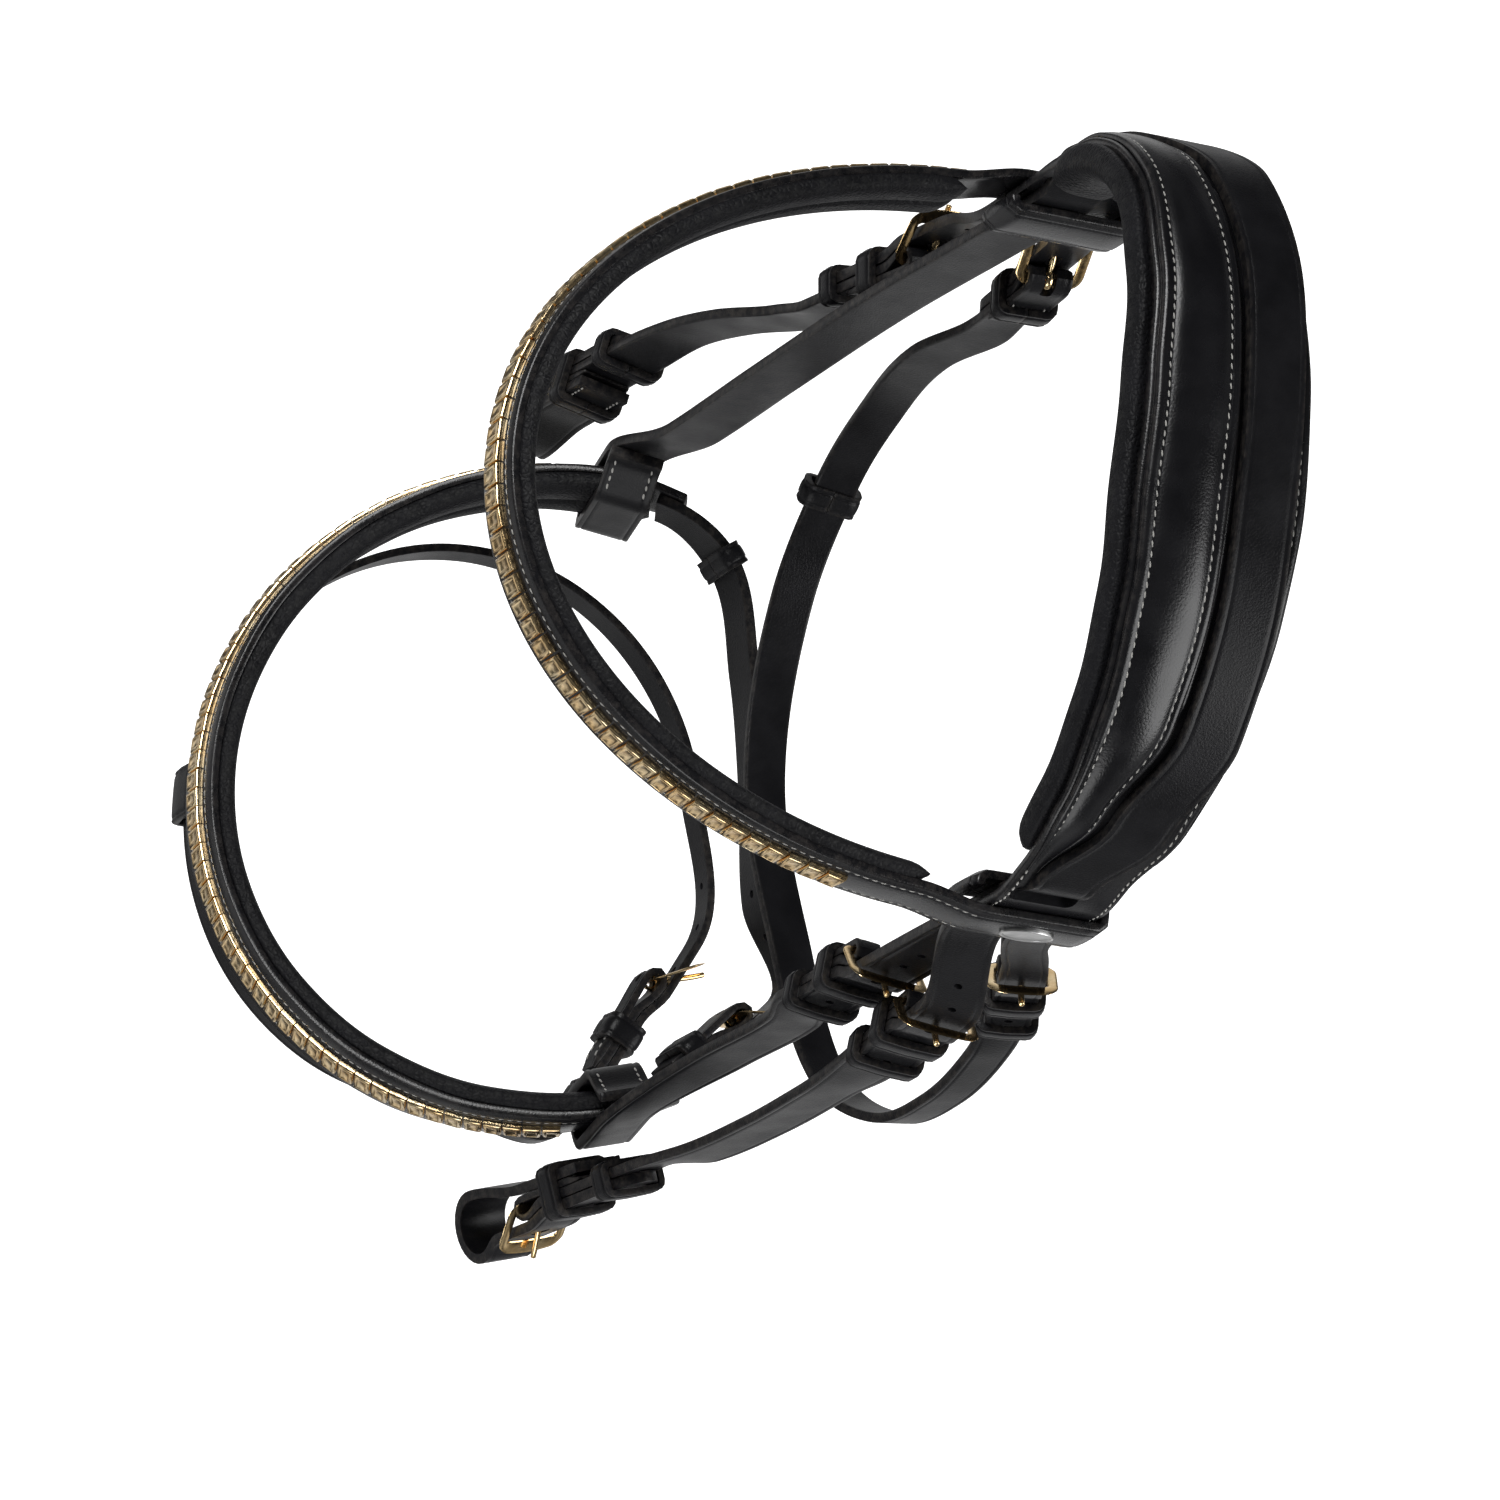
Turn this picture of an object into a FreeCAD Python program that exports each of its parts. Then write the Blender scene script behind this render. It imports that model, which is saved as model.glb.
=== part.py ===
"""Snaffle bridle, hanging as it is worn, without bit and reins.

Millimetres. +Z is up, -Y is the horse's face and +X the horse's left, which is the near side.
The origin is the seat of the padded crown on the poll. Every strap is a solid between stations
along its route; every buckle, keeper and runner takes its place and size from its strap.
"""
import FreeCAD
import Part
import math
import os

Vector = FreeCAD.Vector

# ---------------------------------------------------------------- driving dimensions
HEAD_HALF = 92.0          # middle of the head to the hanger straps
BROW_DROP = 78.0          # poll to the middle of the browband loops
BROW_REACH = 134.0        # browband loops to the front of the browband
NOSE_DROP = 371.0         # poll to the noseband where the hangers hold it
NOSE_REACH = 96.0         # hangers to the front of the noseband
BIT_DROP = 388.0          # poll to the heel bars of the bit buckles
THROAT_DROP = 300.0       # poll to the lowest side bends of the throatlatch

STRAP_WIDTH = 16.0
STRAP_THICK = 3.0
THROAT_WIDTH = 12.5
FLASH_WIDTH = 10.5
FLASH_THICK = 2.4
TURN_THICK = 2.2          # thinned leather that is folded round a buckle bar
LAY_GAP = 0.3             # between pieces that lie against each other
WIRE_RADIUS = 1.5         # buckle wire
PRONG_RADIUS = 1.0
PRONG_BORE_GAP = 0.15     # between the prong's eye and the heel bar
BUCKLE_REACH = 11.0       # heel bar to front bar, along the strap
BUCKLE_SIDE_GAP = 0.5     # between a strap's edge and the buckle's side bars
KEEPER_LENGTH = 8.0
KEEPER_WALL = 2.0
RUNNER_LENGTH = 7.0
BIT_LOOP_RADIUS = 9.5     # to the middle of the bit billet's leather

BROW_WIDTH = 20.0
BROW_THICK = 3.0
BROW_PAD_THICK = 4.5
BROW_LOOP_HEIGHT = 20.0
NOSE_WIDTH = 24.0
NOSE_THICK = 3.0
NOSE_PAD_THICK = 5.7
NOSE_LOOP_GAP = 1.7       # above and below the noseband inside a hanger's loop
HOLD_GAP = 1.3            # inside and outside the curved noseband in that loop
TILE_PITCH = 5.6
TILE_GAP = 0.3
TILE_WIDTH = 8.5          # across the band
TILE_HEIGHT = 1.9
TILE_SEAT = 0.25          # above the curved leather, where the tile's prongs go in

CROWN_END_WIDTH = 31.0
CROWN_TOP_WIDTH = 45.0
CROWN_THICK = 3.0
CROWN_PAD_THICK = 8.5
PANEL_WIDTH = 25.0
PANEL_TAPER = 7.0         # narrower towards the crown's ends
PANEL_EDGE = 1.0          # in from the crown's front edge
PANEL_THICK = 3.2

# ---------------------------------------------------------------- vectors and stations
UP = Vector(0, 0, 1)


def unit(v):
    return v * (1.0 / v.Length)


class Frame:
    """A place on a strap: x runs along the strap, z points out of its face, y is its width."""

    def __init__(self, at, along, out):
        self.at = at
        self.along = unit(along)
        self.side = unit(out.cross(self.along))
        self.out = self.along.cross(self.side)

    def point(self, x=0.0, y=0.0, z=0.0):
        return self.at + self.along * x + self.side * y + self.out * z

    def moved(self, x=0.0, y=0.0, z=0.0):
        return Frame(self.point(x, y, z), self.along, self.out)

    def place(self, shape):
        """Carry a shape drawn about the origin to this frame."""
        a, s, o, p = self.along, self.side, self.out, self.at
        matrix = FreeCAD.Matrix(a.x, s.x, o.x, p.x, a.y, s.y, o.y, p.y, a.z, s.z, o.z, p.z, 0, 0, 0, 1)
        placed = shape.copy()
        placed.Placement = FreeCAD.Placement(matrix)
        return placed


class Station:
    """One cross-section of a strap: its leather reaches from lo to hi along the frame's z."""

    def __init__(self, frame, width, lo, hi):
        self.frame = frame
        self.width = width
        self.lo = lo
        self.hi = hi

    def corners(self):
        half = self.width / 2
        return [self.frame.point(0, y, z) for y, z in
                ((-half, self.lo), (half, self.lo), (half, self.hi), (-half, self.hi))]


def station(frame, width, thick, x=0.0, z=0.0):
    """Plain cross-section, moved along (x) and out of (z) the frame."""
    return Station(frame.moved(x, 0, z), width, -thick / 2, thick / 2)


def route(points, outs, width, thick, start=None, end=None):
    """Plain stations through points; each tangent runs between a point's neighbours."""
    stations = []
    count = len(points)
    for i, (at, out) in enumerate(zip(points, outs)):
        before = points[i - 1] if i > 0 else (start or at)
        after = points[i + 1] if i < count - 1 else (end or at)
        a = unit(at - before) if (at - before).Length > 0.01 else None
        b = unit(after - at) if (after - at).Length > 0.01 else None
        along = (a or b) + (b or a)
        stations.append(station(Frame(at, along, out), width, thick))
    return stations


def strap(stations):
    """The solid between stations: four curved edges with ruled faces between them."""
    faces = []
    for first, second in zip(stations, stations[1:]):
        rails = []
        turn = first.frame.along.getAngle(second.frame.along)
        handle = 1 / (3 * math.cos(turn / 4) ** 2)      # makes an even turn round
        for p, q in zip(first.corners(), second.corners()):
            reach = (q - p).Length * handle
            curve = Part.BezierCurve()
            curve.setPoles([p, p + first.frame.along * reach, q - second.frame.along * reach, q])
            rails.append(curve.toShape())
        for i in range(4):
            faces.append(Part.makeRuledSurface(rails[i], rails[(i + 1) % 4]))
    for end in (stations[0], stations[-1]):
        corners = end.corners()
        faces.append(Part.Face(Part.makePolygon(corners + corners[:1])))
    shell = Part.makeShell(faces)
    shell.sewShape()
    solid = Part.makeSolid(shell if shell.ShapeType == "Shell" else shell.Shells[0])
    if solid.Volume < 0:
        solid.reverse()
    return solid


def block(x0, x1, y0, y1, z0, z1):
    return Part.makeBox(x1 - x0, y1 - y0, z1 - z0, Vector(x0, y0, z0))


def rod(p, q, radius):
    return Part.makeCylinder(radius, (q - p).Length, p, q - p)


# ---------------------------------------------------------------- buckles, keepers and runners
FOLD_RADIUS = WIRE_RADIUS + PRONG_BORE_GAP + TURN_THICK
PRONG_SLOT = 2 * PRONG_RADIUS + 1.2
EYE_RADIUS = WIRE_RADIUS + PRONG_BORE_GAP + 1.1


def over_fold(thick):
    """Height of a billet's middle where it passes over the fold."""
    return FOLD_RADIUS + LAY_GAP + thick / 2


def over_strap(thick):
    """Height of a billet's middle where it lies on the strap below the buckle."""
    return thick + LAY_GAP


def front_bar_at(thick):
    return Vector(-BUCKLE_REACH, 0, over_fold(thick) + thick / 2 + LAY_GAP + WIRE_RADIUS)


def buckle_frame(width, thick):
    """Four bars of wire with round corners, about the heel bar."""
    half = width / 2 + BUCKLE_SIDE_GAP + WIRE_RADIUS
    front = front_bar_at(thick)
    corners = [Vector(0, -half, 0), Vector(0, half, 0),
               front + Vector(0, half, 0), front + Vector(0, -half, 0)]
    solid = None
    for i, corner in enumerate(corners):
        bar = rod(corner, corners[(i + 1) % 4], WIRE_RADIUS)
        ball = Part.makeSphere(WIRE_RADIUS, corner)
        solid = bar.fuse(ball) if solid is None else solid.fuse(bar).fuse(ball)
    return solid.removeSplitter()


def prong(thick):
    """A bar from an eye round the heel bar to a tip that lies on the front bar."""
    front = front_bar_at(thick)
    lift = WIRE_RADIUS + PRONG_RADIUS + 0.1
    angle = math.atan2(front.z, -front.x) + math.asin(lift / front.Length)
    lean = Vector(-math.cos(angle), 0, math.sin(angle))
    rest = lean * math.sqrt(front.Length ** 2 - lift ** 2)
    shank = rod(lean * (EYE_RADIUS - 0.8), rest + lean * 3.0, PRONG_RADIUS)
    tip = Part.makeSphere(PRONG_RADIUS, rest + lean * 3.0)
    eye = rod(Vector(0, -1.2, 0), Vector(0, 1.2, 0), EYE_RADIUS)
    bore = rod(Vector(0, -2, 0), Vector(0, 2, 0), WIRE_RADIUS + PRONG_BORE_GAP)
    return eye.fuse(shank).fuse(tip).cut(bore)


def folded_end(width):
    """The round of the fold, to be joined to the strap."""
    return rod(Vector(0, -width / 2, 0), Vector(0, width / 2, 0), FOLD_RADIUS)


def fold_cut(width):
    """The heel bar's bore and the slot for the prong's eye."""
    bore = rod(Vector(0, -width, 0), Vector(0, width, 0), WIRE_RADIUS + PRONG_BORE_GAP)
    half = PRONG_SLOT / 2
    reach = EYE_RADIUS + 0.4
    slot = block(-FOLD_RADIUS - 1, reach, -half, half, -reach, FOLD_RADIUS + 1)
    return bore.fuse(slot)


def fold_stations(frame, width, thick):
    """From the heel bar to where the folded leather's tail ends, along the strap."""
    tail = -thick / 2 - TURN_THICK
    return [Station(frame, width, -FOLD_RADIUS, FOLD_RADIUS),
            Station(frame.moved(12), width, tail, thick / 2),
            Station(frame.moved(29), width, tail, thick / 2),
            Station(frame.moved(34), width, -thick / 2, thick / 2)]


def finish_fold(solid, frame, width):
    return solid.fuse(frame.place(folded_end(width))).cut(frame.place(fold_cut(width)))


def billet_stations(frame, width, thick, tip_at, tip_width=4.0):
    """From before the front bar, over the fold, down on to the strap and to the pointed tip."""
    high = over_fold(thick)
    low = over_strap(thick)
    return [station(frame, width, thick, -16, high), station(frame, width, thick, 1.5, high),
            station(frame, width, thick, 13.5, low), station(frame, width, thick, tip_at - 12, low),
            station(frame, tip_width, thick, tip_at, low)]


def pierce(solid, frame, thick):
    """Cut the slot that the buckle's prong passes through."""
    half = PRONG_SLOT / 2
    high = over_fold(thick) + thick
    return solid.cut(frame.place(block(-8.2, -0.4, -half, half, over_fold(thick) - thick, high)))


def keeper(frame, width, lo, hi, length=KEEPER_LENGTH):
    """A closed leather loop round the layers between lo and hi."""
    half = width / 2 + LAY_GAP
    wall = KEEPER_WALL
    outer = block(0, length, -half - wall, half + wall, lo - LAY_GAP - wall, hi + LAY_GAP + wall)
    outer = outer.makeFillet(1.5, [e for e in outer.Edges if abs(e.BoundBox.XLength - length) < 0.01])
    inner = block(-1, length + 1, -half, half, lo - LAY_GAP, hi + LAY_GAP)
    return frame.place(outer.cut(inner))


def fixed_keeper(frame, width, thick, under=0.0):
    """Keeper just below the buckle, round the fold's tail and the billet."""
    lo = -thick / 2 - TURN_THICK - under
    return keeper(frame.moved(15.5), width, lo, over_strap(thick) + thick / 2)


def runner(frame, width, thick, x, under=0.0):
    """Keeper that slides on the strap and the billet."""
    return keeper(frame.moved(x), width, -thick / 2 - under, over_strap(thick) + thick / 2, RUNNER_LENGTH)


# ---------------------------------------------------------------- where the pieces hang
SIDES = {"near": 1, "far": -1}


def out_of(side, turn=0.0):
    """Outward direction on a side of the head, turned towards the rear by an angle in degrees."""
    turn = math.radians(turn)
    return Vector(side * math.cos(turn), math.sin(turn), 0)


def turned_back(s):
    """The same cross-section, for a route that runs the other way."""
    return Station(Frame(s.frame.at, s.frame.along * -1, s.frame.out), s.width, s.lo, s.hi)


CROWN_END_X = HEAD_HALF + 6.0
CROWN_END_Y = -6.0
CROWN_END_Z = -(BROW_DROP + 12.0)
SPLIT_GAP = 0.4           # between the crown's ends and the cheek billets that bend there
THROAT_GAP = 1.2          # more, because the throatlatch swings to the rear
shapes = {}

# ---------------------------------------------------------------- crown
# Shares of the half width and heights over the poll, from the near side to the far side.
CROWN_ARCH = [(1.0, -49), (0.88, -27), (0.66, -8), (0.37, 6), (0.08, 12.5),
              (-0.23, 15.5), (-0.56, 13.5), (-0.86, 1), (-1.02, -24), (-1.04, -49)]
# From the crown's middle line back to the head strap's front edge, from the near end to the far end.
HEAD_STRAP_FRONT = [-12, -12, -11, -3, 4.3, 4.8, 4.6, 4.6, 4.6, 3.2, -5, -12, -13, -13]
HEAD_STRAP_REAR = [front + STRAP_WIDTH / 2 for front in HEAD_STRAP_FRONT]


def crown_stations(width_top, width_end, thick, offset, shifts=None, ends=True):
    """Across the poll; offset moves the layer outwards and shifts move it to the rear."""
    scale = HEAD_HALF + 2
    points = [Vector(x * scale, CROWN_END_Y * abs(x) ** 3, z) for x, z in CROWN_ARCH]
    widths = [width_end + (width_top - width_end) * max(1 - abs(x), 0) ** 0.5 for x, z in CROWN_ARCH]
    if ends:
        heights = (CROWN_END_Z, -BROW_DROP + BROW_LOOP_HEIGHT / 2 + 3.5)
        points = [Vector(CROWN_END_X, CROWN_END_Y, z) for z in heights] + points
        points += [Vector(-CROWN_END_X, CROWN_END_Y, z) for z in reversed(heights)]
        widths = [width_end] * 2 + widths + [width_end] * 2
    stations = []
    for i, p in enumerate(points):
        along = points[min(i + 1, len(points) - 1)] - points[max(i - 1, 0)]
        if ends and i in (0, 1, len(points) - 2, len(points) - 1):
            along = Vector(0, 0, 1 if i < 2 else -1)
        frame = Frame(p, along, Vector(0, 1, 0).cross(along))
        rear = shifts[i] if shifts else 0.0
        stations.append(station(frame.moved(0, -rear), widths[i], thick, 0, offset))
    return stations


crown = strap(crown_stations(CROWN_TOP_WIDTH, CROWN_END_WIDTH, CROWN_THICK, 0.0))
crown_pad_offset = -(CROWN_THICK + CROWN_PAD_THICK) / 2 - LAY_GAP
shapes["crown_padding"] = strap(crown_stations(CROWN_TOP_WIDTH + 2, CROWN_END_WIDTH + 4,
                                               CROWN_PAD_THICK, crown_pad_offset, ends=False))
panel_offset = (CROWN_THICK + PANEL_THICK) / 2 + LAY_GAP
panel_stations = crown_stations(PANEL_WIDTH, PANEL_WIDTH, PANEL_THICK, panel_offset, ends=False)
for s, (x, z) in zip(panel_stations, CROWN_ARCH):
    crown_width = CROWN_END_WIDTH + (CROWN_TOP_WIDTH - CROWN_END_WIDTH) * max(1 - abs(x), 0) ** 0.5
    s.width = PANEL_WIDTH - PANEL_TAPER * x * x
    s.frame = s.frame.moved(0, (crown_width - s.width) / 2 - PANEL_EDGE)
shapes["crown_front_panel"] = strap(panel_stations[2:-2])

# ---------------------------------------------------------------- noseband
NOSE_TILT = 0.405         # rise of its plane towards the rear
NOSE_CENTRE = Vector(0, -30.0, -NOSE_DROP - 7.5)
NOSE_HALF = HEAD_HALF + 6.5
NOSE_YAW = 2.5            # near side further back
NOSE_LOOP_ANGLE = 102.0   # from the front to the hanger loops
NOSE_PAD_ANGLE = 108.5
NOSE_END_ANGLE = 114.0
NOSE_GOLD_ANGLE = 94.0


def ring_frame(angle, centre, half, reach, tilt, yaw=0.0):
    """Place on a band round the front of the head; the angle runs from the front to the near side."""
    a = math.radians(angle)
    y = math.radians(yaw)

    def turn(u, v):
        x = u * math.cos(y) - v * math.sin(y)
        w = u * math.sin(y) + v * math.cos(y)
        return Vector(x, w, w * tilt)

    at = centre + turn(half * math.sin(a), -reach * math.cos(a))
    along = turn(half * math.cos(a), reach * math.sin(a))
    flat_out = turn(reach * math.sin(a), -half * math.cos(a))
    return Frame(at, along, Vector(flat_out.x, flat_out.y, 0))


def nose_frame(angle):
    return ring_frame(angle, NOSE_CENTRE, NOSE_HALF, NOSE_REACH - 3.0, NOSE_TILT, NOSE_YAW)


def band(frame_at, angles, width, thick, offset=0.0, end_widths=None):
    widths = [width] * len(angles)
    if end_widths:
        widths[0], widths[-1] = end_widths
    return strap([station(frame_at(a), w, thick, 0, offset) for a, w in zip(angles, widths)])


def tiles(frame_at, first, last):
    """Bevelled gold tiles at an even pitch between two angles."""
    steps = 3000
    places = [frame_at(first + (last - first) * i / steps).at for i in range(steps + 1)]
    lengths = [0.0]
    for p, q in zip(places, places[1:]):
        lengths.append(lengths[-1] + (q - p).Length)
    count = int(lengths[-1] / TILE_PITCH)
    long = TILE_PITCH - TILE_GAP
    bevel = 1.2
    half = TILE_WIDTH / 2
    tile = Part.makeWedge(-long / 2, 0, -half, -half + bevel, -long / 2 + bevel,
                          long / 2, TILE_HEIGHT, half, half - bevel, long / 2 - bevel)
    solids = []
    at = 0
    for k in range(count):
        wanted = (k + 0.5) * lengths[-1] / count
        while lengths[at] < wanted:
            at += 1
        solids.append(frame_at(first + (last - first) * at / steps))
    return tile, solids


def tile_group(frame_at, first, last, thick):
    tile, frames = tiles(frame_at, first, last)
    seat = Vector(0, 0, thick / 2 + TILE_SEAT)
    tile.Placement = FreeCAD.Placement(seat, FreeCAD.Rotation(Vector(1, 0, 0), 90))
    return Part.makeCompound([frame.place(Part.makeCompound([tile])).Solids[0] for frame in frames])


nose_angles = [a * NOSE_LOOP_ANGLE / 5 for a in range(-5, 6)]
nose_pad_offset = -(NOSE_THICK + NOSE_PAD_THICK) / 2 - LAY_GAP
pad_angles = [-NOSE_PAD_ANGLE] + nose_angles + [NOSE_PAD_ANGLE]
nose_angles = [-NOSE_END_ANGLE] + nose_angles + [NOSE_END_ANGLE]
shapes["noseband_leather"] = band(nose_frame, nose_angles, NOSE_WIDTH - 1, NOSE_THICK, 0, (15, 15))
shapes["noseband_padding"] = band(nose_frame, pad_angles, NOSE_WIDTH, NOSE_PAD_THICK, nose_pad_offset,
                                  (18, 18))
shapes["noseband_clinchers"] = tile_group(nose_frame, -NOSE_GOLD_ANGLE, NOSE_GOLD_ANGLE, NOSE_THICK)

# ---------------------------------------------------------------- browband
BROW_HALF = HEAD_HALF + 6.0
BROW_LOOP_HALF = CROWN_END_WIDTH / 2 + 1.1
BROW_LOOP_WALL = 3.0
loop_front = CROWN_END_Y - BROW_LOOP_HALF - BROW_LOOP_WALL
BROW_CENTRE = Vector(0, loop_front - LAY_GAP, -BROW_DROP)


def brow_frame(angle):
    return ring_frame(angle, BROW_CENTRE, BROW_HALF, BROW_REACH, 0.0)


brow_angles = [-90, -72, -54, -36, -18, 0, 18, 36, 54, 72, 90]
brow_pad_offset = -(BROW_THICK + BROW_PAD_THICK) / 2 - LAY_GAP
shapes["browband_leather"] = band(brow_frame, brow_angles, BROW_WIDTH, BROW_THICK)
shapes["browband_padding"] = band(brow_frame, [-84] + brow_angles[1:-1] + [84], BROW_WIDTH + 1.5,
                                  BROW_PAD_THICK, brow_pad_offset)
shapes["browband_clinchers"] = tile_group(brow_frame, -86, 76, BROW_THICK)

hanger_lay = CROWN_END_X - CROWN_THICK / 2 - LAY_GAP - STRAP_THICK - LAY_GAP
loop_outer = CROWN_END_X + CROWN_THICK / 2 + LAY_GAP
for name, side in SIDES.items():
    height = BROW_LOOP_HEIGHT / 2
    xs = sorted((side * hanger_lay, side * loop_outer))
    y0, y1 = CROWN_END_Y - BROW_LOOP_HALF, CROWN_END_Y + BROW_LOOP_HALF
    wall = BROW_LOOP_WALL
    outer = block(xs[0] - wall, xs[1] + wall, y0 - wall, y1 + wall, -height, height)
    outer = outer.makeFillet(2.5, [e for e in outer.Edges if abs(e.BoundBox.ZLength - 2 * height) < 0.01])
    loop = outer.cut(block(xs[0], xs[1], y0, y1, -height - 1, height + 1))
    loop.translate(Vector(0, 0, -BROW_DROP))
    shapes[f"{name}_browband_loop"] = loop
plate = Part.makeCylinder(5.0, 1.2)
stretch = FreeCAD.Matrix()
stretch.scale(1.0, 1.5, 1.0)
plate = plate.transformGeometry(stretch)
plate_frame = Frame(Vector(loop_outer + BROW_LOOP_WALL + 0.05, CROWN_END_Y, -BROW_DROP), UP, Vector(1, 0, 0))
shapes["browband_badge"] = plate_frame.place(plate)

# ---------------------------------------------------------------- head strap and hangers
head_offset = (CROWN_THICK + STRAP_THICK) / 2 + LAY_GAP
hanger_x = CROWN_END_X - head_offset
near_hanger_heel = Frame(Vector(hanger_x - over_fold(STRAP_THICK), -6.0, -(BROW_DROP + 96.0)),
                         Vector(0, 0.04, -1), out_of(1, -8))


def noseband_hold(side):
    """Frame at the middle of the noseband in a hanger's loop, running down."""
    f = nose_frame(side * NOSE_LOOP_ANGLE)
    middle = f.point(0, 0, -(NOSE_PAD_THICK + LAY_GAP) / 2)
    return Frame(middle, Vector(0, NOSE_TILT / 2, -1), f.out)


NOSE_STACK = NOSE_THICK + LAY_GAP + NOSE_PAD_THICK
hold_lay = NOSE_STACK / 2 + HOLD_GAP + STRAP_THICK / 2
skew = math.atan(NOSE_TILT) - math.atan(NOSE_TILT / 2)
hold_half = (NOSE_WIDTH / 2 / math.cos(skew) + STRAP_WIDTH / 2 * math.tan(skew) + NOSE_LOOP_GAP
             + STRAP_THICK / 2)


def hold_stations(side):
    """A hanger's lower end: down outside the noseband, under it, up inside and back to itself."""
    f = noseband_hold(side)
    w, t = STRAP_WIDTH, STRAP_THICK

    def at(x, z, along, out):
        return station(Frame(f.point(x, 0, z), along, out), w, t)

    down, out = f.along, f.out
    corner = 2.8
    flat = hold_half - corner
    return [at(-flat - 3, hold_lay, down, out), at(flat, hold_lay, down, out),
            at(hold_half, hold_lay - corner, out * -1, down),
            at(hold_half, corner - hold_lay, out * -1, down),
            at(flat, -hold_lay, down * -1, out * -1), at(1 - hold_half, -hold_lay, down * -1, out * -1),
            at(-hold_half - 14, hold_lay - STRAP_THICK - LAY_GAP - 1.5, down * -1, out * -1)]


def hanging(points, side, turn=0.0):
    """Free stations of a strap that runs down a side of the head."""
    places = [Vector(side * x, y, z) for x, y, z in points]
    return route(places, [out_of(side, turn)] * len(places), STRAP_WIDTH, STRAP_THICK)[1:-1]


head = crown_stations(STRAP_WIDTH, STRAP_WIDTH, STRAP_THICK, head_offset, HEAD_STRAP_REAR)
for i in (0, 1, -2, -1):
    head[i].frame = head[i].frame.moved(0, 0, -2 * head_offset)
head[0].frame = head[0].frame.moved(10)
head[-1].frame = head[-1].frame.moved(-10)
HANGER_TIP = 50.0
near_top = [turned_back(s) for s in
            reversed(billet_stations(near_hanger_heel, STRAP_WIDTH, STRAP_THICK, HANGER_TIP))]
far_path = [(hanger_x, -12, -(BROW_DROP + 4)), (hanger_x, -13, -(BROW_DROP + 25)),
            (hanger_x, -17, -(BROW_DROP + 90)), (hanger_x, -18, -(NOSE_DROP - 124)),
            (hanger_x + 1, -17, -(NOSE_DROP - 63)), (hanger_x + 2, -18, -(NOSE_DROP - 20))]
head_strap = strap(near_top + head + hanging(far_path, -1) + hold_stations(-1))
slot_gap = 0.6
cutter = crown_stations(STRAP_WIDTH + 2, STRAP_WIDTH + 2, STRAP_THICK + 2 * slot_gap, head_offset,
                        HEAD_STRAP_REAR)
for i in (0, 1, -2, -1):
    cutter[i].frame = cutter[i].frame.moved(0, 0, -2 * head_offset)
shapes["crown_leather"] = crown.cut(strap(cutter[1:3])).cut(strap(cutter[-3:-1]))
shapes["noseband_head_strap"] = pierce(head_strap, near_hanger_heel, STRAP_THICK)

f = near_hanger_heel
hx = f.at.x
near_lower = fold_stations(f, STRAP_WIDTH, STRAP_THICK) + [station(f.moved(58), STRAP_WIDTH, STRAP_THICK)]
near_lower += hanging([tuple(f.point(58)), (hx, 1, -(NOSE_DROP - 120)), (hx + 2, -1, -(NOSE_DROP - 75)),
                       (hx + 6, -6, -(NOSE_DROP - 40))], 1)
near_lower += hold_stations(1)
near_hanger = strap(near_lower)
shapes["near_hanger_strap"] = finish_fold(near_hanger, f, STRAP_WIDTH)
shapes["near_hanger_buckle"] = f.place(buckle_frame(STRAP_WIDTH, STRAP_THICK))
shapes["near_hanger_prong"] = f.place(prong(STRAP_THICK))
shapes["near_hanger_keeper"] = fixed_keeper(f, STRAP_WIDTH, STRAP_THICK)
shapes["near_hanger_runner"] = runner(f, STRAP_WIDTH, STRAP_THICK, 40)

# ---------------------------------------------------------------- cheekpieces
CHEEK_X = CROWN_END_X + 8.5         # cheek straps at the upper buckles
CHEEK_TIP = 52.0
BIT_X = CHEEK_X + 9.5
BIT_TIP = 58.0
# Heel bars of the upper and the lower buckle, the free points between them (x past the upper
# buckle, y, share of the way down) and the turns of the two buckles towards the rear.
CHEEKS = {
    "near": {"heel": Vector(CHEEK_X, 1.0, -(BROW_DROP + 75.0)), "lean": Vector(0.04, 0.12, -1), "turn": -8,
             "path": [(3.5, 9.0, 0.36), (5.5, 8.0, 0.52), (7.5, 3.0, 0.67)],
             "bit": Vector(BIT_X, -12.0, -BIT_DROP - 16), "bit_lean": Vector(-0.05, 0.16, 1),
             "bit_turn": 18},
    "far": {"heel": Vector(-CHEEK_X, -8.0, -(BROW_DROP + 84.0)), "lean": Vector(-0.04, -0.1, -1), "turn": -5,
            "path": [(4.5, -16.0, 0.36), (9.0, -24.0, 0.48), (12.0, -29.0, 0.6)],
            "bit": Vector(-BIT_X - 6, -33.0, -BIT_DROP + 14), "bit_lean": Vector(0.05, 0.02, 1),
            "bit_turn": 12},
}
CHEEK_BILLET_Y = CROWN_END_Y - CROWN_END_WIDTH / 2 + STRAP_WIDTH / 2


def bit_billet_stations(frame, width, thick):
    """Sewn on inside, down round the bit's loop and up through the buckle; frame x runs up."""
    radius = BIT_LOOP_RADIUS
    inner = -thick / 2 - TURN_THICK - LAY_GAP - thick / 2
    fold_inner = -over_fold(thick)
    centre = -BUCKLE_REACH - 15.0
    rows = [(34, inner, -1, 0), (14, inner, -1, 0), (2, fold_inner, -1, 0), (centre, -radius, -1, 0),
            (centre - radius, 0, 0, 1), (centre, radius, 1, 0)]
    stations = []
    for x, z, dx, dz in rows:
        along = frame.along * dx + frame.out * dz
        out = frame.along * -dz + frame.out * dx
        stations.append(station(Frame(frame.point(x, 0, z), along, out), width, thick))
    return stations + billet_stations(frame, width, thick, BIT_TIP)


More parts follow.
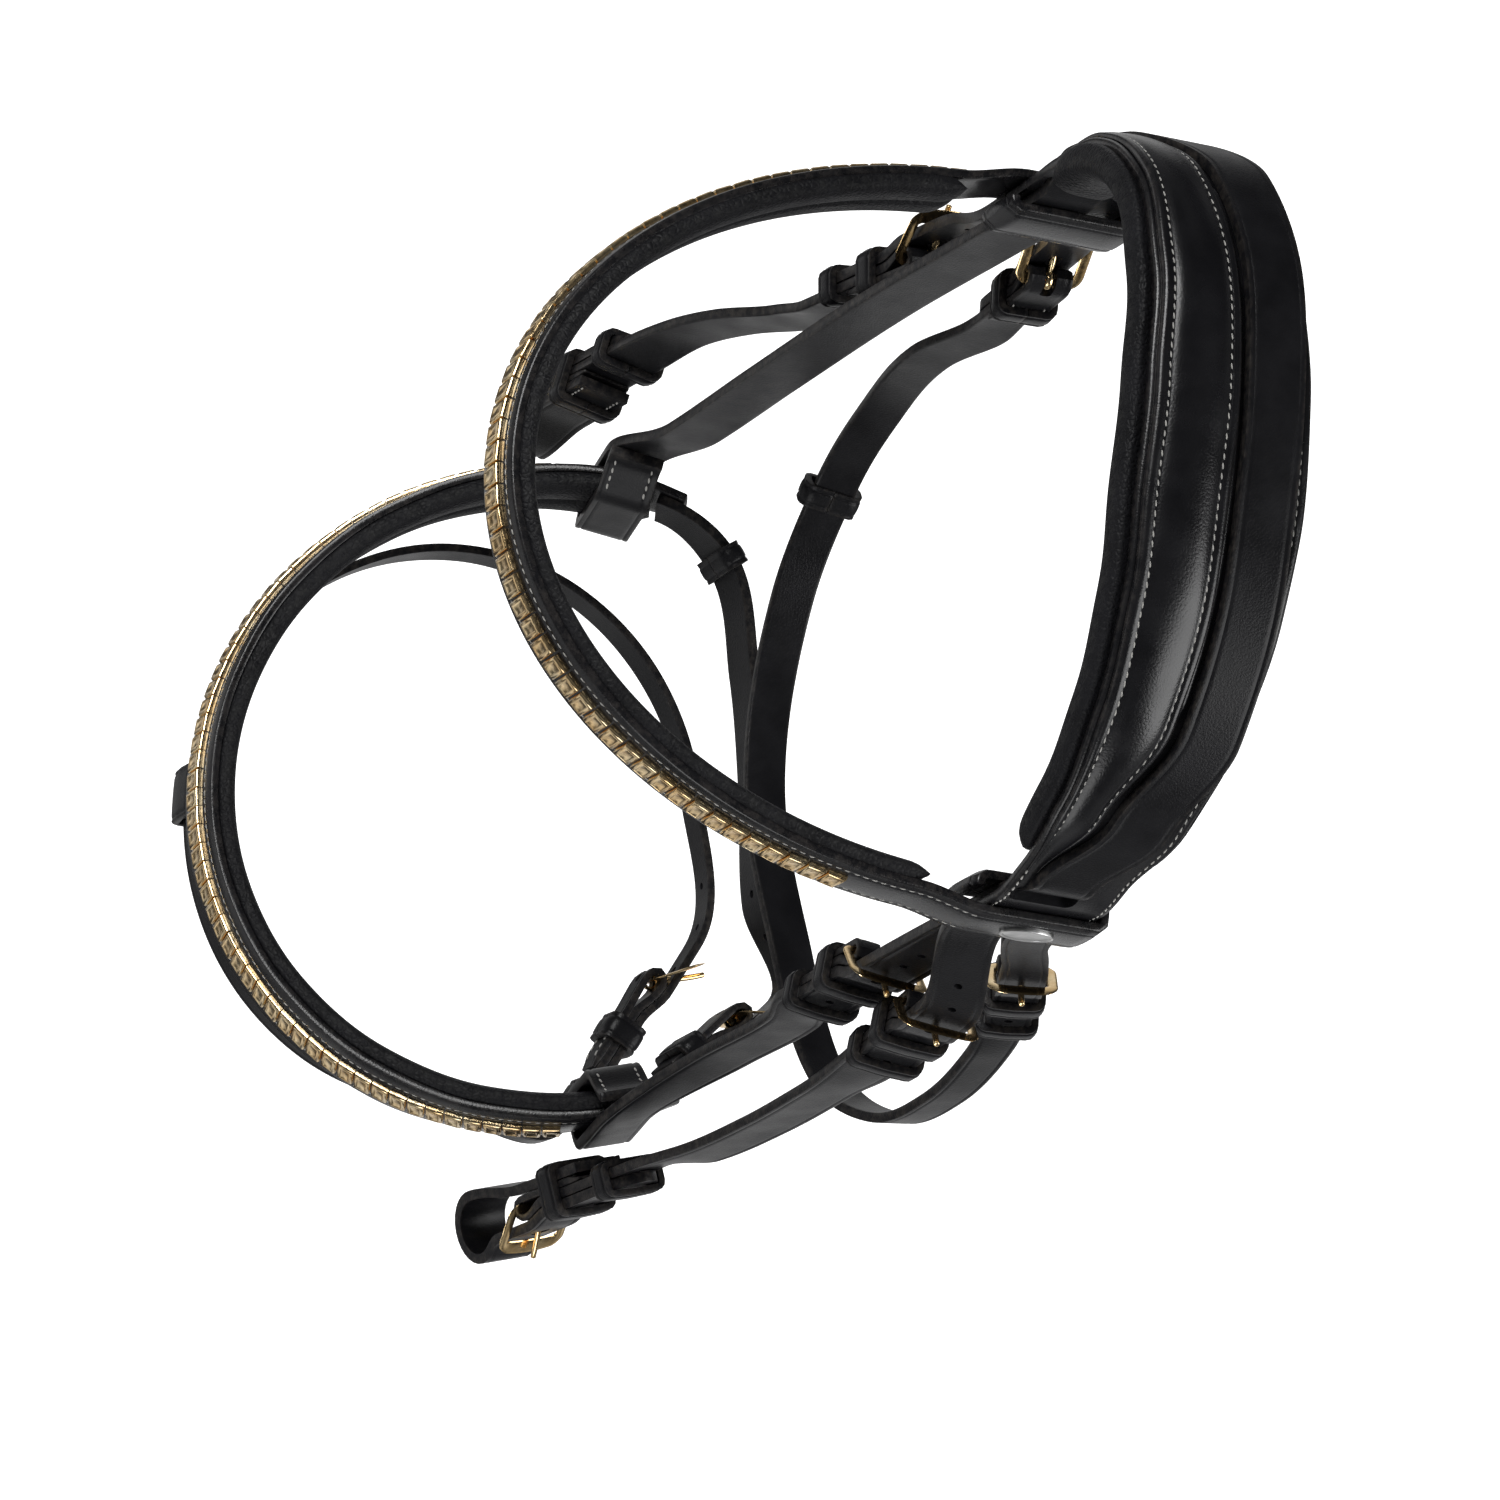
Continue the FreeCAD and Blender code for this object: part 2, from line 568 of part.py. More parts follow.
def cheekpiece(name):
    side = SIDES[name]
    c = CHEEKS[name]
    w, t = STRAP_WIDTH, STRAP_THICK
    upper = Frame(c["heel"], c["lean"], out_of(side, c["turn"]))
    lower = Frame(c["bit"], c["bit_lean"], out_of(side, c["bit_turn"]))
    top = Vector(side * CROWN_END_X, CHEEK_BILLET_Y, CROWN_END_Z - SPLIT_GAP)
    billet = strap([station(Frame(top, UP * -1, out_of(side)), w, t)]
                   + billet_stations(upper, w, t, CHEEK_TIP))
    shapes[f"{name}_cheek_billet"] = pierce(billet, upper, t)
    length = c["bit"].z - c["heel"].z
    start = upper.point(58)
    points = [(side * start.x, start.y, start.z)]
    points += [(CHEEK_X + x, y, c["heel"].z + length * share) for x, y, share in c["path"]]
    end = lower.point(58)
    points.append((side * end.x, end.y, end.z))
    down = fold_stations(upper, w, t) + [station(upper.moved(58), w, t)]
    down += hanging(points, side, (c["turn"] + c["bit_turn"]) / 2)
    up = fold_stations(lower, w, t) + [station(lower.moved(58), w, t)]
    down += [turned_back(s) for s in reversed(up)]
    cheek = finish_fold(finish_fold(strap(down), upper, w), lower, w)
    shapes[f"{name}_cheek_strap"] = cheek
    shapes[f"{name}_cheek_buckle"] = upper.place(buckle_frame(w, t))
    shapes[f"{name}_cheek_prong"] = upper.place(prong(t))
    shapes[f"{name}_cheek_keeper"] = fixed_keeper(upper, w, t)
    shapes[f"{name}_cheek_runner"] = runner(upper, w, t, 38)
    shapes[f"{name}_bit_billet"] = pierce(strap(bit_billet_stations(lower, w, t)), lower, t)
    shapes[f"{name}_bit_buckle"] = lower.place(buckle_frame(w, t))
    shapes[f"{name}_bit_prong"] = lower.place(prong(t))
    keepers = [fixed_keeper(lower, w, t, t + LAY_GAP), runner(lower, w, t, 44)]
    shapes[f"{name}_bit_keepers"] = Part.makeCompound(keepers)
    return upper, lower


cheek_frames = {name: cheekpiece(name) for name in SIDES}

# ---------------------------------------------------------------- throatlatch
THROAT_X = CROWN_END_X - over_fold(STRAP_THICK) + 1.2
THROAT_TIP = 48.0
THROAT_BILLET_WIDTH = CROWN_END_WIDTH - STRAP_WIDTH - 6 * LAY_GAP     # where it leaves the crown
THROAT_BILLET_Y = CROWN_END_Y + CROWN_END_WIDTH / 2 - THROAT_BILLET_WIDTH / 2
THROATS = {
    "near": {"heel": Vector(THROAT_X, 23.0, -(BROW_DROP + 68.0)), "lean": Vector(0.04, 0.36, -1)},
    "far": {"heel": Vector(-THROAT_X, 11.0, -(BROW_DROP + 46.0)), "lean": Vector(-0.02, 0.1, -1)},
}
# From the near buckle round under the jaw to the far buckle: share of THROAT_X, x past that, y and
# height over the bends.
THROAT_PATH = [(1, 6, 45, 85), (1, 12, 47, 50), (1, 12, 44, 20), (1, -2, 36, -4), (0.5, 1.8, 24, -14),
               (0, 1.5, 17, -22), (-0.5, -5.7, 19, -14), (-1, 11.1, 22, 8), (-1, -0.9, 20, 42),
               (-1, -2.9, 14, 90)]


def throatlatch():
    w, t = THROAT_WIDTH, STRAP_THICK
    frames = {}
    for name, side in SIDES.items():
        c = THROATS[name]
        frame = Frame(c["heel"], c["lean"], out_of(side, 0))
        frames[name] = frame
        top = Vector(side * CROWN_END_X, THROAT_BILLET_Y, CROWN_END_Z - THROAT_GAP)
        billet = strap([station(Frame(top, UP * -1, out_of(side)), THROAT_BILLET_WIDTH, t)]
                       + billet_stations(frame, w, t, THROAT_TIP))
        shapes[f"{name}_throat_billet"] = pierce(billet, frame, t)
        shapes[f"{name}_throat_buckle"] = frame.place(buckle_frame(w, t))
        shapes[f"{name}_throat_prong"] = frame.place(prong(t))
        shapes[f"{name}_throat_keeper"] = fixed_keeper(frame, w, t)
    near, far = frames["near"], frames["far"]
    points = [near.point(52)]
    points += [Vector(THROAT_X * share + x, y, z - THROAT_DROP) for share, x, y, z in THROAT_PATH]
    points.append(far.point(52))
    outs = [Vector(p.x, 0.15 * abs(p.x), min(0.0, p.z + THROAT_DROP - 20)) for p in points]
    free = route(points, outs, w, t, near.point(40), far.point(40))
    free[0] = station(near.moved(52), w, t)
    far_fold = [turned_back(s) for s in reversed(fold_stations(far, w, t))]
    body = strap(fold_stations(near, w, t) + free + far_fold)
    shapes["throat_strap"] = finish_fold(finish_fold(body, near, w), far, w)
    shapes["near_throat_runner"] = runner(near, w, t, 38)
    return frames


throat_frames = throatlatch()

# ---------------------------------------------------------------- chin strap, behind the noseband
CHIN_TIP = 29.0
CHIN_HEEL_IN = 27.0       # from the noseband's near end inwards to the heel bar
CHIN_HEEL_BACK = 25.0
CHIN_REAR = 27.0
chin_angle = NOSE_PAD_ANGLE + 1
chin_inside = -(NOSE_THICK + STRAP_THICK) / 2 - LAY_GAP
near_tab = nose_frame(chin_angle).moved(0, 0, chin_inside)
far_tab = nose_frame(-chin_angle).moved(0, 0, chin_inside)
chin_heel = Frame(near_tab.at + Vector(-CHIN_HEEL_IN, CHIN_HEEL_BACK, -1.0),
                  Vector(CHIN_HEEL_IN, -CHIN_HEEL_BACK, 1.0), Vector(0.7, 0.7, 0))


def chin_straps():
    """A short strap with the buckle on the near side and a long billet from the far side."""
    w, t = STRAP_WIDTH, STRAP_THICK
    root = Frame(near_tab.at, near_tab.along * -1, near_tab.out)
    short = fold_stations(chin_heel, w, t)[:3]
    short.append(station(root, 14, t))
    shapes["chin_strap"] = finish_fold(strap(short), chin_heel, w)
    rear_z = chin_heel.at.z - 2
    points = [Vector(-NOSE_HALF * 0.78, CHIN_REAR - 10, rear_z + 2),
              Vector(-NOSE_HALF * 0.45, CHIN_REAR, rear_z),
              Vector(-NOSE_HALF * 0.1, CHIN_REAR + 5, rear_z),
              Vector(NOSE_HALF * 0.25, CHIN_REAR + 8, rear_z + 1)]
    outs = [Vector(p.x * 0.5, 60, 0) for p in points]
    end = chin_heel.point(-16, 0, over_fold(t))
    middle = route(points, outs, w, t, far_tab.at, end)
    root = station(Frame(far_tab.at, far_tab.along * -1, far_tab.out), 14, t)
    long = strap([root] + middle + billet_stations(chin_heel, w, t, CHIN_TIP))
    shapes["chin_billet"] = pierce(long, chin_heel, t)
    shapes["chin_buckle"] = chin_heel.place(buckle_frame(w, t))
    shapes["chin_prong"] = chin_heel.place(prong(t))
    shapes["chin_keeper"] = fixed_keeper(chin_heel, w, t)
    shapes["chin_far_keeper"] = keeper(middle[0].frame.moved(-RUNNER_LENGTH / 2), w, -t / 2, t / 2,
                                       RUNNER_LENGTH)


chin_straps()

# ---------------------------------------------------------------- flash strap, below the noseband
FLASH_HALF = 84.0
FLASH_REACH = 74.0
FLASH_TILT = 0.2
FLASH_LOOP_GAP = 0.8
FLASH_LOOP_WALL = 2.4
FLASH_HEEL_ANGLE = 150.0
FLASH_TIP = 48.0
noseband_bottom = nose_frame(0).point(0, -NOSE_WIDTH / 2, 0).z
flash_front_z = noseband_bottom - LAY_GAP - FLASH_LOOP_WALL - FLASH_LOOP_GAP - FLASH_WIDTH / 2
flash_front_y = nose_frame(0).point(0, 0, -NOSE_STACK / 2).y
FLASH_CENTRE = Vector(0, flash_front_y + FLASH_REACH, flash_front_z + FLASH_REACH * FLASH_TILT)


def flash_frame(angle):
    f = ring_frame(angle, FLASH_CENTRE, FLASH_HALF, FLASH_REACH, FLASH_TILT)
    return Frame(f.at, f.along * -1, f.out)


def flash():
    """One strap from its buckle round the near side, the front and the far side, and back to it."""
    w, t = FLASH_WIDTH, FLASH_THICK
    heel = flash_frame(FLASH_HEEL_ANGLE)
    ring = [station(flash_frame(a), w, t) for a in (88, 60, 30, 0, -30, -60, -88, -116, -144, -168)]
    body = strap(fold_stations(heel, w, t) + [station(heel.moved(52), w, t)] + ring
                 + billet_stations(heel, w, t, FLASH_TIP))
    shapes["flash_strap"] = pierce(finish_fold(body, heel, w), heel, t)
    shapes["flash_buckle"] = heel.place(buckle_frame(w, t))
    shapes["flash_prong"] = heel.place(prong(t))
    shapes["flash_keeper"] = fixed_keeper(heel, w, t)
    shapes["flash_runner"] = runner(heel, w, t, 38)
    front = flash_frame(0)
    gap, wall, half = FLASH_LOOP_GAP, FLASH_LOOP_WALL, STRAP_WIDTH / 2
    side, face = w / 2 + gap + wall, t / 2 + gap + wall
    outer = block(-half, half, -side, side, -face, face)
    outer = outer.makeFillet(1.6, [e for e in outer.Edges if abs(e.BoundBox.XLength - 2 * half) < 0.01])
    inner = block(-half - 1, half + 1, -w / 2 - gap, w / 2 + gap, -t / 2 - gap, t / 2 + gap)
    shapes["flash_loop"] = front.place(outer.cut(inner))
    return heel


flash_heel = flash()

if __name__ == "__main__":
    os.makedirs("parts", exist_ok=True)
    for name, shape in shapes.items():
        print(name, shape.isValid(), round(shape.Volume / 1000, 2), len(shape.Solids))
        shape.exportStep(f"parts/{name}.step")
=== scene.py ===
"""Snaffle bridle in black leather with gold clinchers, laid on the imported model.

+Z is up, -Y is the horse's face and +X the near side. Objects are in metres. A strap's way is
worked out in millimetres, as a saddler measures it, and turns to metres when the leather is laid.
"""
import logging
import math
import random
from dataclasses import dataclass, field
from enum import Enum, IntEnum
from typing import Callable, Iterable, Optional, Sequence

import bpy
import numpy as np
from mathutils import Matrix, Vector


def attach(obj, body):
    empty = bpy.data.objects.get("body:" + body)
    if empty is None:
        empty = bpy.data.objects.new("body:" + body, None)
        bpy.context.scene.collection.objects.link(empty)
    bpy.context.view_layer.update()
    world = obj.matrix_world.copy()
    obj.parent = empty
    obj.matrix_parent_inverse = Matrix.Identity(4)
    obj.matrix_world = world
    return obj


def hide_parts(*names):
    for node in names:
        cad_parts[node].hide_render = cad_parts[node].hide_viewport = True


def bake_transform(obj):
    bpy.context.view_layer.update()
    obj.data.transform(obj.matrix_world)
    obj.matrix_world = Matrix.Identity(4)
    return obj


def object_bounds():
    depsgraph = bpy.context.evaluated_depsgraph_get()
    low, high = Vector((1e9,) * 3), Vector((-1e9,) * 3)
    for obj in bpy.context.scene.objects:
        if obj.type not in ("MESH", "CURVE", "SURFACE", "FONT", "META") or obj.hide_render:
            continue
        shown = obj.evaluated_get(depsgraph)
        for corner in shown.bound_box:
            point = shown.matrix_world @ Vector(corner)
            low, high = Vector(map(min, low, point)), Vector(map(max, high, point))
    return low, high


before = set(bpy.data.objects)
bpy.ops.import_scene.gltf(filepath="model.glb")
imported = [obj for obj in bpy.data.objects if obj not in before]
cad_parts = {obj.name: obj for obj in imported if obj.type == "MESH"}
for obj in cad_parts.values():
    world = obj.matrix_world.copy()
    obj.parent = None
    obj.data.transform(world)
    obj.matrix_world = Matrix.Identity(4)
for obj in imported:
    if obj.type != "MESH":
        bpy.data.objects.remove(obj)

MODEL_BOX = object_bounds()
MM = 0.001
UP = Vector((0, 0, 1))
LOG = logging.getLogger("bridle")

Three = tuple[float, float, float]
Pair = tuple[float, float]
Slit = tuple[float, float, float, float]
Bend = tuple[str, Vector, Vector]


class Side(Enum):
    """The two sides of the horse."""

    NEAR = "near"
    FAR = "far"

    @property
    def sign(self) -> int:
        """+1 on the near side, -1 on the far side."""
        return 1 if self is Side.NEAR else -1


class Face(IntEnum):
    """Faces of a cut piece of leather, in the order of its material slots."""

    GRAIN = 0
    EDGE = 1
    FLESH = 2


class Slot(str, Enum):
    """Names of the bridle's finishes."""

    POLISHED = "polished_leather"
    STRAP = "strap_leather"
    LINING = "lining_leather"
    GOLD = "gold_metal"
    PLATE = "plate_metal"


@dataclass(frozen=True)
class Sizes:
    """Driving sizes of the bridle, in millimetres."""

    head_half: float = 92.0
    brow_drop: float = 78.0
    brow_reach: float = 134.0
    nose_drop: float = 371.0
    nose_reach: float = 96.0
    bit_drop: float = 388.0
    throat_drop: float = 300.0
    strap_width: float = 16.0
    strap_thick: float = 3.0
    throat_width: float = 12.5
    flash_width: float = 10.5
    flash_thick: float = 2.4
    turn_thick: float = 2.2
    lay_gap: float = 0.3
    wire: float = 1.5
    prong: float = 1.0
    bore_gap: float = 0.15
    buckle_reach: float = 11.0
    buckle_side_gap: float = 0.5
    keeper_length: float = 8.0
    keeper_wall: float = 2.0
    keeper_at: float = 15.5
    runner_length: float = 7.0
    bit_loop_radius: float = 9.5
    brow_width: float = 20.0
    brow_thick: float = 3.0
    brow_pad: float = 4.5
    nose_width: float = 24.0
    nose_thick: float = 3.0
    nose_pad: float = 5.7
    nose_loop_gap: float = 1.7
    hold_gap: float = 1.3
    tile_pitch: float = 5.6
    tile_gap: float = 0.3
    tile_width: float = 8.5
    tile_height: float = 1.9
    tile_seat: float = 0.25
    crown_end_width: float = 31.0
    crown_top_width: float = 45.0
    crown_thick: float = 3.0
    crown_pad: float = 8.5
    panel_thick: float = 3.2
    loop_wall: float = 3.0
    loop_room: float = 1.1

    @property
    def crown_end_x(self) -> float:
        """Middle of the crown's leather at its ends."""
        return self.head_half + 6.0

    @property
    def loop_half(self) -> float:
        """Half of the room inside a browband loop, front to rear."""
        return self.crown_end_width / 2 + self.loop_room

    @property
    def bar_radius(self) -> float:
        """Middle of the folded leather round a heel bar."""
        return self.wire + self.bore_gap + self.turn_thick / 2

    @property
    def head_offset(self) -> float:
        """Between the middles of the crown's leather and the head strap."""
        return (self.crown_thick + self.strap_thick) / 2 + self.lay_gap

    def over_fold(self, thick: float) -> float:
        """Height of a billet's middle over the fold."""
        return self.wire + self.bore_gap + self.turn_thick + self.lay_gap + thick / 2

    def over_strap(self, thick: float) -> float:
        """Height of a billet's middle on the strap below the buckle."""
        return thick + self.lay_gap


SIZE = Sizes()
CROWN_END_Y = -6.0
CROWN_END_Z = -(SIZE.brow_drop + 12.0)
LEATHER_END_Z = -SIZE.brow_drop - 3.0      # where the crown's leather splits, hidden in the loops


# ---------------------------------------------------------------- ways of the straps
class Place:
    """A place on a strap: x runs along the strap, y is its width, z points out of its face."""

    def __init__(self, at: Vector, along: Vector, out: Vector) -> None:
        self.at = at
        self.along = along.normalized()
        self.side = out.cross(self.along).normalized()
        self.out = self.along.cross(self.side)

    def point(self, x: float = 0.0, y: float = 0.0, z: float = 0.0) -> Vector:
        """A point given in this place's own directions."""
        return self.at + self.along * x + self.side * y + self.out * z

    def moved(self, x: float = 0.0, y: float = 0.0, z: float = 0.0) -> "Place":
        """The same directions at another point."""
        return Place(self.point(x, y, z), self.along, self.out)

    def reversed(self) -> "Place":
        """The same place on a way that runs the other way."""
        return Place(self.at, self.along * -1, self.out)

    def turned(self, x: float, z: float, along: Pair, out: Pair) -> "Place":
        """A place in the x-z plane, with its directions given in that plane."""
        return Place(self.point(x, 0, z), self.along * along[0] + self.out * along[1],
                     self.along * out[0] + self.out * out[1])

    def matrix(self) -> Matrix:
        """Carries what is drawn in metres about the origin to this place."""
        turn = Matrix((self.along, self.side, self.out)).transposed().to_4x4()
        return Matrix.Translation(self.at * MM) @ turn


@dataclass
class Cut:
    """One cross-section of a strap, with leather from lo to hi along the place's z."""

    place: Place
    width: float
    lo: float
    hi: float

    def corners(self) -> list[Vector]:
        """Corners from the inner face round to the outer face."""
        half = self.width / 2
        pairs = ((-half, self.lo), (half, self.lo), (half, self.hi), (-half, self.hi))
        return [self.place.point(0, y, z) for y, z in pairs]

    def back(self) -> "Cut":
        """The same cross-section on a way that runs the other way."""
        return Cut(self.place.reversed(), self.width, self.lo, self.hi)


def plain(place: Place, width: float, thick: float, x: float = 0.0, z: float = 0.0) -> Cut:
    """A cross-section with its middle at x, z from the place."""
    return Cut(place.moved(x, 0, z), width, -thick / 2, thick / 2)


def backwards(cuts: Sequence[Cut]) -> list[Cut]:
    """The cross-sections of a way walked from its other end."""
    return [cut.back() for cut in reversed(cuts)]


def through(points: Sequence[Vector], outs: Sequence[Vector], width: float, thick: float,
            start: Optional[Vector] = None, end: Optional[Vector] = None) -> list[Cut]:
    """Cross-sections at points, each along the line between its neighbours.

    Args:
        points: middles of the cross-sections.
        outs: outward direction at each point.
        width: width of the strap.
        thick: thickness of the strap.
        start: where the way comes from, before its first point.
        end: where the way goes on to, after its last point.

    Returns:
        One cross-section for each point.
    """
    cuts = []
    for i, (at, out) in enumerate(zip(points, outs)):
        before = points[i - 1] if i > 0 else (start or at)
        after = points[i + 1] if i < len(points) - 1 else (end or at)
        steps = [step.normalized() for step in (at - before, after - at) if step.length > 0.01]
        cuts.append(plain(Place(at, steps[0] + steps[-1], out), width, thick))
    return cuts


def bezier(first: np.ndarray, second: np.ndarray, third: np.ndarray, last: np.ndarray,
           t: np.ndarray) -> np.ndarray:
    """Points of a cubic at shares of its run."""
    return (first * (1 - t) ** 3 + 3 * second * t * (1 - t) ** 2 + 3 * third * t * t * (1 - t)
            + last * t ** 3)


class Way:
    """The smooth way between cross-sections, sampled along its middle."""

    STEP = 0.8

    def __init__(self, cuts: Sequence[Cut]) -> None:
        rows: list[np.ndarray] = []
        starts: list[int] = []
        for first, second in zip(cuts, cuts[1:]):
            turn = first.place.along.angle(second.place.along)
            handle = 1 / (3 * math.cos(turn / 4) ** 2)
            pairs = list(zip(first.corners(), second.corners()))
            gap = max((q - p).length for p, q in pairs)
            t = np.linspace(0, 1, max(4, int(gap / self.STEP)), endpoint=False)[:, None]
            rails = []
            for p, q in pairs:
                reach = (q - p).length * handle
                a, d = np.array(p), np.array(q)
                leave = a + np.array(first.place.along) * reach
                arrive = d - np.array(second.place.along) * reach
                rails.append(bezier(a, leave, arrive, d, t))
            starts.append(sum(len(row) for row in rows))
            rows.append(np.stack(rails, 1))
        starts.append(sum(len(row) for row in rows))
        rows.append(np.array([[list(corner) for corner in cuts[-1].corners()]]))
        rails = np.concatenate(rows)
        self.middle = rails.mean(1)
        self.half_side = (rails[:, 1] + rails[:, 2] - rails[:, 0] - rails[:, 3]) / 4
        self.half_up = (rails[:, 2] + rails[:, 3] - rails[:, 0] - rails[:, 1]) / 4
        steps = np.linalg.norm(np.diff(self.middle, axis=0), axis=1)
        self.reach = np.concatenate([[0.0], np.cumsum(steps)])
        self.marks = [float(self.reach[i]) for i in starts]
        self.length = float(self.reach[-1])

    def _read(self, rows: np.ndarray, x: np.ndarray) -> np.ndarray:
        """Rows of a table at lengths along the way."""
        return np.stack([np.interp(x, self.reach, rows[:, k]) for k in range(3)], -1)

    def points(self, x: np.ndarray, side: np.ndarray, up: np.ndarray) -> np.ndarray:
        """Points in millimetres.

        Args:
            x: lengths along the way.
            side: shares of the half width.
            up: shares of the half thickness.

        Returns:
            One row for each point.
        """
        across = self._read(self.half_side, x) * side[:, None]
        return self._read(self.middle, x) + across + self._read(self.half_up, x) * up[:, None]

    def place(self, x: float, side: float = 0.0, lift: float = 0.0) -> Place:
        """A place on the outer face.

        Args:
            x: length along the way.
            side: share of the half width.
            lift: height off the face.

        Returns:
            The place, with x along the way and z out of the face.
        """
        step = 0.5
        xs = np.array([x, min(x + step, self.length), max(x - step, 0.0)])
        places = self.points(xs, np.full(3, side), np.ones(3))
        at, ahead, behind = (Vector(row) for row in places)
        out = Vector(self._read(self.half_up, xs)[0]).normalized()
        return Place(at + out * lift, ahead - behind, out)


# ---------------------------------------------------------------- making and shaping meshes
def start_piece(name: str) -> bpy.types.Object:
    """Name the primitive that was just added."""
    piece = bpy.context.view_layer.objects.active
    piece.name = name
    piece.data.name = name
    return piece


def clear_selection() -> None:
    """Leave nothing selected before an operator."""
    bpy.ops.object.select_all(action="DESELECT")


def pick(piece: bpy.types.Object) -> None:
    """Make a piece the only selected and active one."""
    clear_selection()
    piece.select_set(True)
    bpy.context.view_layer.objects.active = piece


def settle_size() -> None:
    """Apply the move, turn and scale of what is selected."""
    bpy.ops.object.transform_apply(location=True, rotation=True, scale=True)


def read_points(piece: bpy.types.Object) -> np.ndarray:
    """The piece's vertices, one row each."""
    flat = np.empty(len(piece.data.vertices) * 3)
    piece.data.vertices.foreach_get("co", flat)
    return flat.reshape(-1, 3)


def write_points(piece: bpy.types.Object, points: np.ndarray) -> None:
    """Move the piece's vertices."""
    piece.data.vertices.foreach_set("co", points.ravel())
    piece.data.update()


def carry(points: np.ndarray, matrix: Matrix) -> np.ndarray:
    """Points carried by a matrix."""
    return np.c_[points, np.ones(len(points))] @ np.array(matrix).T[:, :3]


def smooth(piece: bpy.types.Object, degrees: float) -> None:
    """Shade smooth across edges flatter than an angle."""
    pick(piece)
    bpy.ops.object.shade_smooth_by_angle(angle=math.radians(degrees))


def edit_all(piece: bpy.types.Object) -> None:
    """Go into edit mode with everything selected."""
    pick(piece)
    bpy.ops.object.mode_set(mode="EDIT")
    bpy.ops.mesh.select_all(action="SELECT")


def select_parts(piece: bpy.types.Object, kind: str, chosen: Callable[..., bool]) -> None:
    """Go into edit mode with only the chosen edges or faces selected.

    Args:
        piece: the piece to edit.
        kind: EDGE or FACE.
        chosen: says whether an edge or a face is selected.
    """
    pick(piece)
    bpy.ops.object.mode_set(mode="EDIT")
    bpy.ops.mesh.select_mode(type=kind)
    bpy.ops.mesh.select_all(action="DESELECT")
    bpy.ops.object.mode_set(mode="OBJECT")
    for item in (piece.data.edges if kind == "EDGE" else piece.data.polygons):
        item.select = chosen(item)
    bpy.ops.object.mode_set(mode="EDIT")


def end_edit() -> None:
    """Leave edit mode, ready to select vertices next time."""
    bpy.ops.mesh.select_mode(type="VERT")
    bpy.ops.object.mode_set(mode="OBJECT")


def face_outwards(piece: bpy.types.Object) -> None:
    """Merge doubles and turn every face outwards."""
    edit_all(piece)
    bpy.ops.mesh.remove_doubles(threshold=1e-6)
    bpy.ops.mesh.normals_make_consistent(inside=False)
    end_edit()


def slice_across(piece: bpy.types.Object, normal: Vector, distances: Iterable[float]) -> None:
    """Cut edge loops across a piece, so that it can bend there.

    Args:
        piece: the piece, about the origin.
        normal: direction that the cuts face.
        distances: millimetres of the cuts along that direction.
    """
    for distance in distances:
        edit_all(piece)
        bpy.ops.mesh.bisect(plane_co=normal * (distance * MM), plane_no=normal)
        end_edit()


def apply_modifier(piece: bpy.types.Object, kind: str, **settings: object) -> None:
    """Add a modifier and apply it.

    Args:
        piece: the piece to change.
        kind: type of the modifier.
        settings: its settings by name.
    """
    pick(piece)
    modifier = piece.modifiers.new(kind.lower(), kind)
    for key, value in settings.items():
        setattr(modifier, key, value)
    bpy.ops.object.modifier_apply(modifier=modifier.name)


def round_edges(piece: bpy.types.Object, width: float, segments: int, angle: float) -> None:
    """Round a piece's sharp edges.

    Args:
        piece: the piece to round.
        width: width of the rounding in millimetres.
        segments: faces across the rounding.
        angle: edges sharper than these degrees are rounded.
    """
    apply_modifier(piece, "BEVEL", width=width * MM, segments=segments, limit_method="ANGLE",
                   angle_limit=math.radians(angle), harden_normals=False)


def join(name: str, parts: Sequence[bpy.types.Object]) -> bpy.types.Object:
    """Join several objects into the first and name it."""
    clear_selection()
    for part in parts:
        part.select_set(True)
    bpy.context.view_layer.objects.active = parts[0]
    bpy.ops.object.join()
    return start_piece(name)


def repeat(name: str, pattern: bpy.types.Object, places: Sequence[Matrix]) -> bpy.types.Object:
    """Copy a pattern to many places as one mesh, and remove the pattern.

    Args:
        name: name of the new piece.
        pattern: what is copied.
        places: where each copy goes.

    Returns:
        The new piece.
    """
    unit = read_points(pattern)
    faces = [tuple(polygon.vertices) for polygon in pattern.data.polygons]
    points = np.concatenate([carry(unit, place) for place in places])
    starts = range(0, len(points), len(unit))
    mesh = bpy.data.meshes.new(name)
    mesh.from_pydata(points.tolist(), [],
                     [tuple(i + start for i in face) for start in starts for face in faces])
    mesh.update()
    piece = bpy.data.objects.new(name, mesh)
    bpy.context.scene.collection.objects.link(piece)
    bpy.data.objects.remove(pattern)
    return piece


